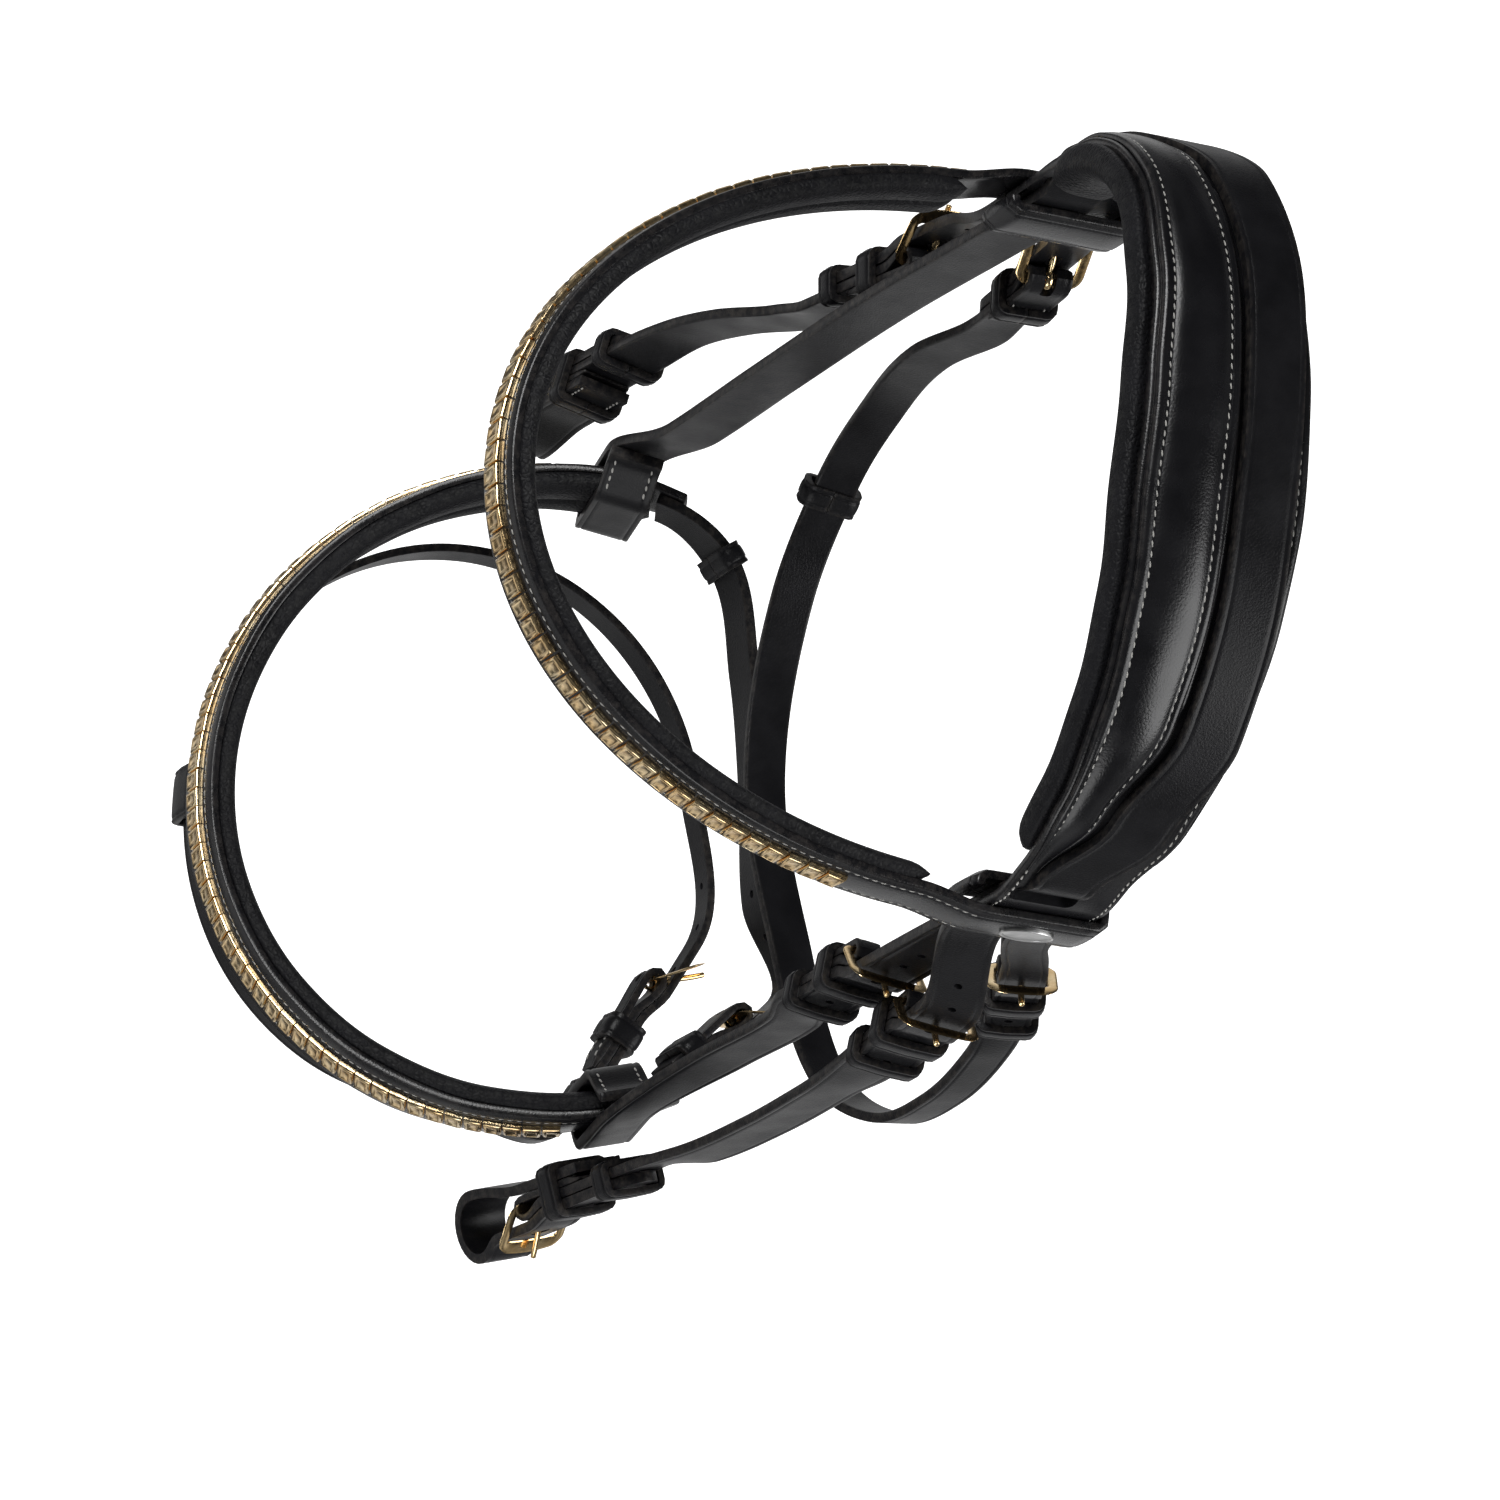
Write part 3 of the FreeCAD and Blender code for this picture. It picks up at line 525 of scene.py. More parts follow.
# ---------------------------------------------------------------- finishes
class Nodes:
    """Short calls for building one node tree."""

    def __init__(self, tree: bpy.types.NodeTree) -> None:
        self.tree = tree

    def add(self, kind: str, **settings: object) -> bpy.types.Node:
        """A new node with settings on itself or on its inputs."""
        node = self.tree.nodes.new(kind)
        for key, value in settings.items():
            if hasattr(node, key):
                setattr(node, key, value)
            else:
                node.inputs[key.replace("_", " ").title()].default_value = value
        return node

    def feed(self, target: bpy.types.NodeSocket, value: object) -> None:
        """Link a socket to an input, or set the input to a number or a colour."""
        if isinstance(value, bpy.types.NodeSocket):
            self.tree.links.new(value, target)
        else:
            target.default_value = (*value, 1.0) if isinstance(value, tuple) else value

    def fill(self, node: bpy.types.Node, values: dict[str, object]) -> None:
        """Feed several inputs of a node by name."""
        for name, value in values.items():
            self.feed(node.inputs[name], value)

    def math(self, operation: str, first: object, second: object,
             clamp: bool = False) -> bpy.types.NodeSocket:
        """A sum of two values or sockets.

        Args:
            operation: the kind of sum.
            first: a number or a socket.
            second: a number or a socket.
            clamp: keeps the result between 0 and 1.

        Returns:
            The result's socket.
        """
        node = self.add("ShaderNodeMath", operation=operation, use_clamp=clamp)
        for socket, value in zip(node.inputs, (first, second)):
            self.feed(socket, value)
        return node.outputs[0]

    def spread(self, value: bpy.types.NodeSocket, low: float, high: float,
               to_low: float = 0.0, to_high: float = 1.0) -> bpy.types.NodeSocket:
        """A value carried from one range to another.

        Args:
            value: the value's socket.
            low: lower end of its range.
            high: upper end of its range.
            to_low: what the lower end becomes.
            to_high: what the upper end becomes.

        Returns:
            The result's socket.
        """
        node = self.add("ShaderNodeMapRange")
        self.fill(node, {"Value": value, "From Min": low, "From Max": high, "To Min": to_low,
                         "To Max": to_high})
        return node.outputs["Result"]

    def mix(self, share: bpy.types.NodeSocket, first: object,
            second: object) -> bpy.types.NodeSocket:
        """A colour between two colours, each a colour or a socket."""
        node = self.add("ShaderNodeMix", data_type="RGBA")
        for index, value in ((0, share), (6, first), (7, second)):
            self.feed(node.inputs[index], value)
        return node.outputs[2]

    def noise(self, where: bpy.types.NodeSocket, scale: float, detail: float,
              roughness: float = 0.5) -> bpy.types.NodeSocket:
        """Cloudy noise.

        Args:
            where: coordinates.
            scale: clouds to a metre.
            detail: layers of finer clouds.
            roughness: strength of the finer clouds.

        Returns:
            The noise's value.
        """
        node = self.add("ShaderNodeTexNoise", scale=scale, detail=detail, roughness=roughness)
        self.feed(node.inputs["Vector"], where)
        return node.outputs["Fac"]

    def bump(self, height: bpy.types.NodeSocket, strength: float,
             distance: float) -> bpy.types.NodeSocket:
        """A normal raised by a height, at most a distance in metres."""
        node = self.add("ShaderNodeBump", strength=strength, distance=distance)
        self.feed(node.inputs["Height"], height)
        return node.outputs["Normal"]


def new_group(name: str, inputs: dict[str, str], outputs: Iterable[str]) -> Nodes:
    """An empty node group with its sockets.

    Args:
        name: the group's name.
        inputs: socket kind of each input, by name.
        outputs: name of each value output.

    Returns:
        The group's tree, whose first two nodes are its input and its output.
    """
    group = bpy.data.node_groups.new(name, "ShaderNodeTree")
    for title, kind in inputs.items():
        group.interface.new_socket(name=title, in_out="INPUT", socket_type=kind)
    for title in outputs:
        group.interface.new_socket(name=title, in_out="OUTPUT", socket_type="NodeSocketFloat")
    group.nodes.new("NodeGroupInput")
    group.nodes.new("NodeGroupOutput")
    return Nodes(group)


def leather_grain_group() -> bpy.types.NodeTree:
    """Pebbled grain, hair-fine pores and soft mottling of hide."""
    nodes = new_group("leather grain",
                      {"Vector": "NodeSocketVector", "Pebble Scale": "NodeSocketFloat"},
                      ["Height", "Mottle"])
    entry, leave = nodes.tree.nodes[0], nodes.tree.nodes[1]
    where = entry.outputs["Vector"]
    warp = nodes.noise(where, 260.0, 2.0).node.outputs["Color"]
    shift = nodes.add("ShaderNodeVectorMath", operation="MULTIPLY_ADD")
    nodes.feed(shift.inputs[0], warp)
    shift.inputs[1].default_value = (0.0012, 0.0012, 0.0012)
    nodes.feed(shift.inputs[2], where)
    cells = nodes.add("ShaderNodeTexVoronoi", feature="DISTANCE_TO_EDGE")
    nodes.fill(cells, {"Vector": shift.outputs[0], "Scale": entry.outputs["Pebble Scale"]})
    pebble = nodes.math("MULTIPLY", nodes.spread(cells.outputs["Distance"], 0.0, 0.28), 0.65)
    pores = nodes.math("MULTIPLY", nodes.noise(where, 2600.0, 3.0, 0.6), 0.35)
    nodes.fill(leave, {"Height": nodes.math("ADD", pebble, pores),
                       "Mottle": nodes.noise(where, 75.0, 4.0, 0.55)})
    return nodes.tree


def scuff_group() -> bpy.types.NodeTree:
    """Broken wear along edges, from the wear that each piece carries."""
    nodes = new_group("edge wear", {"Vector": "NodeSocketVector", "Wear": "NodeSocketFloat"},
                      ["Mask"])
    entry, leave = nodes.tree.nodes[0], nodes.tree.nodes[1]
    uneven = nodes.spread(nodes.noise(entry.outputs["Vector"], 420.0, 4.0, 0.7), 0.42, 0.7)
    nodes.feed(leave.inputs["Mask"],
               nodes.math("MULTIPLY", entry.outputs["Wear"], uneven, clamp=True))
    return nodes.tree


def new_material(name: str) -> tuple[bpy.types.Material, Nodes, bpy.types.Node,
                                     bpy.types.NodeSocket]:
    """A material with its shader and the coordinates that its patterns use."""
    material = bpy.data.materials.new(name)
    material.use_nodes = True
    nodes = Nodes(material.node_tree)
    shader = material.node_tree.nodes["Principled BSDF"]
    where = nodes.add("ShaderNodeTexCoord").outputs["Object"]
    return material, nodes, shader, where


@dataclass(frozen=True)
class LeatherFinish:
    """Dyed leather: colours, gloss and grain."""

    name: str
    colour: Three
    mottled: Three
    worn: Three
    rough: Pair
    pebble: float
    depth: float
    shine: float
    coat: float = 0.0
    sheen: float = 0.0

    def make(self, grain_group: bpy.types.NodeTree,
             wear_group: bpy.types.NodeTree) -> bpy.types.Material:
        """Build the material.

        Args:
            grain_group: the shared grain.
            wear_group: the shared edge wear.

        Returns:
            The material.
        """
        material, nodes, shader, where = new_material(self.name)
        grain = nodes.add("ShaderNodeGroup", node_tree=grain_group)
        nodes.fill(grain, {"Vector": where, "Pebble Scale": self.pebble})
        wear = nodes.add("ShaderNodeAttribute", attribute_name="wear")
        scuff = nodes.add("ShaderNodeGroup", node_tree=wear_group)
        nodes.fill(scuff, {"Vector": where, "Wear": wear.outputs["Fac"]})
        mottle = grain.outputs["Mottle"]
        hide = nodes.mix(nodes.spread(mottle, 0.35, 0.7), self.colour, self.mottled)
        nodes.fill(shader, {
            "Base Color": nodes.mix(scuff.outputs["Mask"], hide, self.worn),
            "Roughness": nodes.spread(mottle, 0.3, 0.7, *self.rough),
            "Normal": nodes.bump(grain.outputs["Height"], self.depth, 0.0004),
            "Specular IOR Level": self.shine, "Coat Weight": self.coat, "Coat Roughness": 0.22,
            "Sheen Weight": self.sheen, "Sheen Roughness": 0.5})
        return material


@dataclass(frozen=True)
class MetalFinish:
    """Plated metal with faint polishing marks."""

    name: str
    colour: Three
    toned: Three
    rough: Pair
    ripple: float

    def make(self) -> bpy.types.Material:
        """Build the material."""
        material, nodes, shader, where = new_material(self.name)
        tone = nodes.spread(nodes.noise(where, 140.0, 3.0), 0.35, 0.68)
        marks = nodes.noise(where, 900.0, 5.0, 0.65)
        nodes.fill(shader, {
            "Base Color": nodes.mix(tone, self.colour, self.toned),
            "Roughness": nodes.spread(marks, 0.35, 0.7, *self.rough),
            "Normal": nodes.bump(nodes.noise(where, 330.0, 2.0), self.ripple, 0.0006),
            "Metallic": 1.0})
        return material


@dataclass(frozen=True)
class ThreadFinish:
    """Waxed linen thread with its twist."""

    name: str
    colour: Three
    shade: Three

    def make(self) -> bpy.types.Material:
        """Build the material."""
        material, nodes, shader, where = new_material(self.name)
        twist = nodes.noise(where, 3200.0, 2.0)
        nodes.fill(shader, {
            "Base Color": nodes.mix(nodes.spread(twist, 0.35, 0.65), self.colour, self.shade),
            "Normal": nodes.bump(twist, 0.5, 0.0001), "Roughness": 0.62, "Sheen Weight": 0.25})
        return material


class Finishes:
    """Every finish of the bridle, made once."""

    def __init__(self) -> None:
        groups = leather_grain_group(), scuff_group()
        self.leather = {
            Slot.POLISHED: LeatherFinish(
                "polished leather", colour=(0.005, 0.005, 0.006), mottled=(0.008, 0.008, 0.0095),
                worn=(0.03, 0.027, 0.026), rough=(0.21, 0.32), pebble=900.0, depth=0.09,
                shine=0.4, coat=0.12).make(*groups),
            Slot.STRAP: LeatherFinish(
                "strap leather", colour=(0.006, 0.006, 0.007), mottled=(0.0095, 0.0095, 0.011),
                worn=(0.035, 0.031, 0.028), rough=(0.3, 0.42), pebble=1100.0, depth=0.14,
                shine=0.18, coat=0.05).make(*groups),
            Slot.LINING: LeatherFinish(
                "lining leather", colour=(0.006, 0.006, 0.007), mottled=(0.01, 0.01, 0.012),
                worn=(0.02, 0.02, 0.02), rough=(0.42, 0.58), pebble=620.0, depth=0.62,
                shine=0.16).make(*groups)}
        self.flesh = LeatherFinish(
            "flesh side", colour=(0.009, 0.009, 0.011), mottled=(0.014, 0.014, 0.0165),
            worn=(0.03, 0.028, 0.027), rough=(0.72, 0.88), pebble=1900.0, depth=0.5,
            shine=0.2, sheen=0.04).make(*groups)
        self.edge = LeatherFinish(
            "burnished edge", colour=(0.008, 0.0075, 0.0075), mottled=(0.013, 0.011, 0.01),
            worn=(0.035, 0.027, 0.021), rough=(0.36, 0.52), pebble=1500.0, depth=0.2,
            shine=0.3).make(*groups)
        self.gold = MetalFinish("pale gold plate", colour=(0.92, 0.63, 0.29),
                                toned=(0.98, 0.77, 0.45), rough=(0.13, 0.27), ripple=0.10).make()
        self.tile = MetalFinish("pale gold tile", colour=(0.94, 0.65, 0.32),
                                toned=(1.0, 0.82, 0.52), rough=(0.13, 0.27), ripple=0.14).make()
        self.plate = MetalFinish("silver plate", colour=(0.62, 0.62, 0.62),
                                 toned=(0.8, 0.8, 0.79), rough=(0.3, 0.45), ripple=0.4).make()
        self.thread = ThreadFinish("waxed thread", colour=(0.46, 0.45, 0.42),
                                   shade=(0.27, 0.265, 0.25)).make()

    def sides(self, slot: Slot) -> tuple[bpy.types.Material, ...]:
        """Materials of a leather piece's grain, edge and flesh."""
        grain = self.leather[slot]
        return (grain,) * 3 if slot is Slot.LINING else (grain, self.edge, self.flesh)


# ---------------------------------------------------------------- cutting leather
Profile = Sequence[Three]


def creased(width: float, inset: float = 1.6, depth: float = 0.22, dome: float = 0.0,
            round_top: float = 0.0) -> Profile:
    """Columns of a strap with a pressed line beside each edge.

    Args:
        width: width of the strap.
        inset: from the edge to the pressed line.
        depth: depth of the line.
        dome: height that the middle rises over the lines.
        round_top: height lost at the very edge.

    Returns:
        Share of the half width, rise of the outer face and rise of the inner face for each column.
    """
    half, press = width / 2, 0.55
    line = half - inset
    right = [(line * 0.45, dome * 0.85), (line * 0.8, dome * 0.45), (line - press, dome * 0.1),
             (line, -depth), (line + press, -0.02), (half, -round_top)]
    columns = [(y / half, rise, 0.0) for y, rise in right]
    mirrored = [(-y, rise, inner) for y, rise, inner in reversed(columns)]
    return mirrored + [(0.0, dome, 0.0)] + columns


def rolled(thick: float, lip: float, lip_from: float, channel: float) -> Profile:
    """Columns of a stuffed lining: two rolls with a sewn channel between them on the inner face.

    Args:
        thick: full thickness.
        lip: height that the rolls rise beside the leather they line.
        lip_from: share of the half width where the leather ends.
        channel: depth of the channel.

    Returns:
        Share, rise of the outer face and rise of the inner face for each column.
    """
    shoulder, bulge_end, ease = 0.6, 0.9, 0.04
    columns = []
    for share in (0.0, 0.06, 0.14, 0.28, 0.44, 0.6, 0.74, 0.84, 0.91, 0.96, 0.99, 1.0):
        past = max(0.0, (share - shoulder) / (1 - shoulder))
        round_off = thick * 0.5 * (1 - math.sqrt(max(0.0, 1 - past ** 2)))
        inner = round_off + channel * math.exp(-(share / 0.075) ** 2)
        if share < bulge_end:
            inner -= 0.35 * math.sin(math.pi * share / bulge_end)
        outer = -round_off
        if share > lip_from - ease:
            climb = min(1.0, (share - lip_from + ease) / (1 + ease - lip_from))
            outer += lip * (math.sin(math.pi * climb) + 0.3)
        columns.append((share, outer, inner))
    return [(-share, outer, inner) for share, outer, inner in reversed(columns[1:])] + columns


@dataclass
class Blank:
    """A flat piece of leather as it is cut, creased and punched, before it is laid.

    Slots are the two ends along the piece and the two across it. The ridge's fade gives the share
    of a raised column that is left at lengths along the piece.
    """

    RIDGE_LEAST = 0.25
    SLOT_ROUND = 0.46
    WEAR_SIDE = 1.0
    WEAR_END = 0.8

    length: float
    width: float
    thick: float
    profile: Profile
    pitch: float = 2.2
    tips: Pair = (0.0, 0.0)
    holes: Sequence[float] = ()
    slots: Sequence[Slit] = ()
    edge_round: float = 0.55
    stuffed: bool = False
    hole_radius: float = 1.25
    ridge_fade: Sequence[Pair] = ()

    def cut(self, name: str) -> bpy.types.Object:
        """The flat piece, in metres, from x = 0 to its length."""
        clear_selection()
        steps = max(3, round(self.length / self.pitch))
        bpy.ops.mesh.primitive_grid_add(x_subdivisions=steps,
                                        y_subdivisions=len(self.profile) - 1, size=1.0)
        piece = start_piece(name)
        edit_all(piece)
        bpy.ops.mesh.extrude_region_move(TRANSFORM_OT_translate={"value": (0, 0, -1)})
        end_edit()
        self._form(piece)
        face_outwards(piece)
        if not self.stuffed:
            round_edges(piece, self.edge_round, 2, 58)
            self._punch(piece)
        self._mark(piece)
        return piece

    def _narrowing(self, x: np.ndarray) -> np.ndarray:
        """Share of the width that is left near the points."""
        share = np.ones_like(x)
        for tip, gap in ((self.tips[0], x), (self.tips[1], self.length - x)):
            if tip:
                near = np.clip(1 - gap / tip, 0, 1)
                share *= np.maximum((1 - near ** 1.9) ** 0.62, 0.1)
        return share

    def _form(self, piece: bpy.types.Object) -> None:
        """Give the grid its size, its columns and its points."""
        points = read_points(piece)
        table = np.array(self.profile)
        column = np.rint((points[:, 1] + 0.5) * (len(table) - 1)).astype(int)
        outer = points[:, 2] > -0.5
        x = (points[:, 0] + 0.5) * self.length
        y = table[column, 0] * self.width / 2 * self._narrowing(x)
        rise = table[column, 1]
        if self.ridge_fade:
            fade = np.interp(x, *zip(*self.ridge_fade))
            rise = np.where(rise > self.RIDGE_LEAST, rise * fade, rise)
        z = np.where(outer, self.thick / 2 + rise, -self.thick / 2 + table[column, 2])
        if self.stuffed:
            ease = np.clip(np.minimum(x, self.length - x) / (self.thick * 1.1), 0, 1)
            full = np.sqrt(np.maximum(1 - (1 - ease) ** 2, 0.02))
            z = z * full
            y = y * (0.72 + 0.28 * full)
        write_points(piece, np.stack([x, y, z], 1) * MM)

    def _punch(self, piece: bpy.types.Object) -> None:
        """Cut the holes and slots."""
        depth = self.thick * 3 * MM
        cutters = []
        for x in self.holes:
            clear_selection()
            bpy.ops.mesh.primitive_cylinder_add(vertices=14, radius=self.hole_radius * MM,
                                                depth=depth, location=(x * MM, 0, 0))
            cutters.append(start_piece("punch"))
        for x0, x1, y0, y1 in self.slots:
            clear_selection()
            bpy.ops.mesh.primitive_cube_add(
                size=1.0, location=((x0 + x1) / 2 * MM, (y0 + y1) / 2 * MM, 0),
                scale=((x1 - x0) * MM, (y1 - y0) * MM, depth))
            cutter = start_piece("slot")
            settle_size()
            heights = [vertex.co.z for vertex in cutter.data.vertices]
            select_parts(cutter, "EDGE",
                         lambda edge: heights[edge.vertices[0]] * heights[edge.vertices[1]] < 0)
            bpy.ops.mesh.bevel(offset=self.SLOT_ROUND * min(x1 - x0, y1 - y0) * MM, segments=5)
            end_edit()
            cutters.append(cutter)
        if cutters:
            tool = join("cutters", cutters) if len(cutters) > 1 else cutters[0]
            pick(tool)
            settle_size()
            apply_modifier(piece, "BOOLEAN", object=tool, operation="DIFFERENCE", solver="EXACT")
            bpy.data.objects.remove(tool)

    def _mark(self, piece: bpy.types.Object) -> None:
        """Note which face is grain, edge or flesh, and where the piece wears."""
        x, y = read_points(piece).T[:2] / MM
        from_side = self.width / 2 * self._narrowing(x) - np.abs(y)
        from_end = np.minimum(x, self.length - x)
        wear = np.maximum(np.clip(1 - from_side / self.WEAR_SIDE, 0, 1),
                          np.clip(1 - from_end / self.WEAR_END, 0, 1))
        attribute = piece.data.attributes.new("wear", "FLOAT", "POINT")
        attribute.data.foreach_set("value", wear.astype(np.float32))
        for polygon in piece.data.polygons:
            lean = polygon.normal.z
            polygon.material_index = (Face.GRAIN if lean > 0.4 else Face.FLESH if lean < -0.4
                                      else Face.EDGE)

    def lay(self, name: str, way: Way) -> bpy.types.Object:
        """Cut the piece and lay it along a way."""
        piece = self.cut(name)
        x, y, z = read_points(piece).T / MM
        write_points(piece, way.points(x, y * 2 / self.width, z * 2 / self.thick) * MM)
        if self.stuffed:
            apply_modifier(piece, "SUBSURF", levels=1, render_levels=1)
        smooth(piece, 60.0 if self.stuffed else 40.0)
        return piece


Row = tuple[Way, float, float, float, float]


@dataclass
class Stitching:
    """Saddle stitches in rows along a way."""

    pitch: float = 2.6
    length: float = 1.85
    radius: float = 0.31
    slant: float = 9.0
    stray: float = 0.08
    stray_slant: float = 4.0

    def sew(self, name: str, rows: Sequence[Row]) -> bpy.types.Object:
        """One piece with every stitch.

        Args:
            name: name of the piece.
            rows: way, first and last length along it, share of the half width and lift.

        Returns:
            The stitches.
        """
        clear_selection()
        bpy.ops.mesh.primitive_uv_sphere_add(segments=6, ring_count=5, radius=1.0)
        stitch = start_piece(name + "_one")
        edit_all(stitch)
        bpy.ops.transform.rotate(value=math.pi / 2, orient_axis="Y", center_override=(0, 0, 0))
        bpy.ops.transform.resize(value=(self.length / 2 * MM, self.radius * MM,
                                        self.radius * 0.9 * MM))
        end_edit()
        shake = random.Random(name)
        places = []
        for way, first, last, share, lift in rows:
            count = max(1, round((last - first) / self.pitch))
            for k in range(count):
                x = first + (k + 0.5) * (last - first) / count
                x += shake.uniform(-self.stray, self.stray)
                slant = self.slant + shake.uniform(-self.stray_slant, self.stray_slant)
                turn = Matrix.Rotation(math.radians(slant), 4, "Z")
                places.append(way.place(x, share, lift).matrix() @ turn)
        piece = repeat(name, stitch, places)
        piece.data.polygons.foreach_set("use_smooth", [True] * len(piece.data.polygons))
        return piece


# ---------------------------------------------------------------- buckles, keepers and clinchers
@dataclass
class Buckle:
    """A wire buckle about its heel bar, with a prong."""

    width: float
    thick: float
    corner: float = 2.6
    bow: float = 1.0
    bow_share: float = 0.35
    swell: float = 0.12
    arch: float = 0.3
    prong_rest: float = 0.1
    prong_past: float = 3.6
    prong_bend: float = 0.315
    prong_radii: Pair = (1.02, 0.82)
    eye_wire: float = 0.58
    eye_out: float = 0.6
    eye_stretch: float = 1.9

    @property
    def half(self) -> float:
        """From the middle to the side bars."""
        return self.width / 2 + SIZE.buckle_side_gap + SIZE.wire

    @property
    def front_height(self) -> float:
        """Height of the front bar over the heel bar."""
        return SIZE.over_fold(self.thick) + self.thick / 2 + SIZE.lay_gap + SIZE.wire

    def frame(self, name: str, place: Place) -> bpy.types.Object:
        """A ring of wire, pulled apart to four bars, with a bowed front bar over the strap.

        Args:
            name: name of the piece.
            place: the heel bar's place on the strap.

        Returns:
            The frame.
        """
        clear_selection()
        slope = math.hypot(SIZE.buckle_reach, self.front_height)
        bpy.ops.mesh.primitive_torus_add(major_segments=56, minor_segments=14,
                                         major_radius=self.corner * MM,
                                         minor_radius=SIZE.wire * MM)
        piece = start_piece(name)
        points = read_points(piece) / MM
        side = np.sign(np.where(np.abs(points) < 1e-4, 0, points))
        points[:, 0] += side[:, 0] * (slope / 2 - self.corner)
        points[:, 1] += side[:, 1] * (self.half - self.corner)
        write_points(piece, points * MM)
        slice_across(piece, Vector((0, 1, 0)),
                     [share * self.half for share in (-0.72, -0.45, -0.22, 0.22, 0.45, 0.72)])
        x, y, z = read_points(piece).T / MM
        along = x + slope / 2
        bar = (np.clip((self.bow_share - along / slope) / self.bow_share, 0, 1)
               * np.clip(1 - (y / self.half) ** 2, 0, 1))
        swell = 1 + self.swell * bar
        middle = np.clip(along, 0, slope)
        bowed = self.bow * bar * (along < slope * 0.5)
        x = middle + (along - middle) * swell - bowed - slope
        z = z * swell + self.arch * np.sin(np.pi * np.clip(-x / slope, 0, 1))
        angle = math.atan2(self.front_height, SIZE.buckle_reach)
        raised = [x * math.cos(angle) - z * math.sin(angle), y,
                  z * math.cos(angle) - x * math.sin(angle)]
        write_points(piece, carry(np.stack(raised, 1) * MM, place.matrix()))
        smooth(piece, 50.0)
        return piece

    def prong(self, name: str, place: Place) -> bpy.types.Object:
        """An eye round the heel bar and a tapered shank whose tip rests on the front bar.

        Args:
            name: name of the piece.
            place: the heel bar's place on the strap.

        Returns:
            The prong.
        """
        front = Vector((-SIZE.buckle_reach, 0, self.front_height))
        lift = SIZE.wire + SIZE.prong + self.prong_rest
        angle = math.atan2(front.z, -front.x) + math.asin(lift / front.length)
        reach = math.sqrt(front.length ** 2 - lift ** 2) + self.prong_past
        eye_radius = SIZE.wire + SIZE.bore_gap + self.eye_out
        start = eye_radius - 0.2
        clear_selection()
        bpy.ops.mesh.primitive_torus_add(major_segments=20, minor_segments=10,
                                         major_radius=eye_radius * MM,
                                         minor_radius=self.eye_wire * MM,
                                         rotation=(math.pi / 2, 0, 0))
        eye = start_piece(name + "_eye")
        settle_size()
        write_points(eye, read_points(eye) * (1, self.eye_stretch, 1))
        clear_selection()
        root, tip = self.prong_radii
        bpy.ops.mesh.primitive_cone_add(vertices=14, radius1=root * MM, radius2=tip * MM,
                                        depth=(reach - start) * MM,
                                        location=(0, 0, (start + reach) / 2 * MM))
        shank = start_piece(name + "_shank")
        settle_size()
        round_edges(shank, 0.35, 3, 50)
        slice_across(shank, UP,
                     [start + (reach - start) * share for share in (0.3, 0.55, 0.75, 0.88)])
        x, y, z = read_points(shank).T / MM
        share = np.clip((z - start) / (reach - start), 0, 1)
        x = x + self.prong_bend * np.sin(np.pi * share ** 1.4)
        along = np.array([-math.cos(angle), 0.0, math.sin(angle)])
        over = np.array([math.sin(angle), 0.0, math.cos(angle)])
        write_points(shank, (np.outer(z, along) + np.outer(x, over) + np.outer(y, (0, 1, 0))) * MM)
        piece = join(name, [eye, shank])
        write_points(piece, carry(read_points(piece), place.matrix()))
        face_outwards(piece)
        smooth(piece, 50.0)
        return piece


AHEAD, BACK, OUT, IN = (1, 0), (-1, 0), (0, 1), (0, -1)


@dataclass
class LeatherLoop:
    """A closed loop of leather round other layers: a keeper, a runner or the flash loop."""

    half: float
    lo: float
    hi: float
    length: float
    wall: float = SIZE.keeper_wall
    corner: float = 1.9
    crown: float = 0.12

    def way(self, place: Place) -> Way:
        """Round the layers, from the middle of the inner side and back to it."""
        half, lo = self.half + self.wall / 2, self.lo - self.wall / 2
        hi, r = self.hi + self.wall / 2, self.corner
        middle = place.moved(self.length / 2)
        across = Place(middle.at, middle.side, middle.out)
        rows = [(0.1, lo, AHEAD, IN), (half - r, lo, AHEAD, IN), (half, lo + r, OUT, AHEAD),
                (half, hi - r, OUT, AHEAD), (half - r, hi, BACK, OUT),
                (0.0, hi + self.wall * self.crown, BACK, OUT), (r - half, hi, BACK, OUT),
                (-half, hi - r, IN, BACK), (-half, lo + r, IN, BACK), (r - half, lo, AHEAD, IN),
                (-0.1, lo, AHEAD, IN)]
        return Way([plain(across.turned(*row), self.length, self.wall) for row in rows])

    def make(self, name: str, place: Place) -> bpy.types.Object:
        """The laid loop, creased beside both edges."""
        way = self.way(place)
        blank = Blank(way.length, self.length, self.wall,
                      creased(self.length, 1.3, 0.2, 0.22), pitch=1.1, edge_round=0.6)
        return blank.lay(name, way)


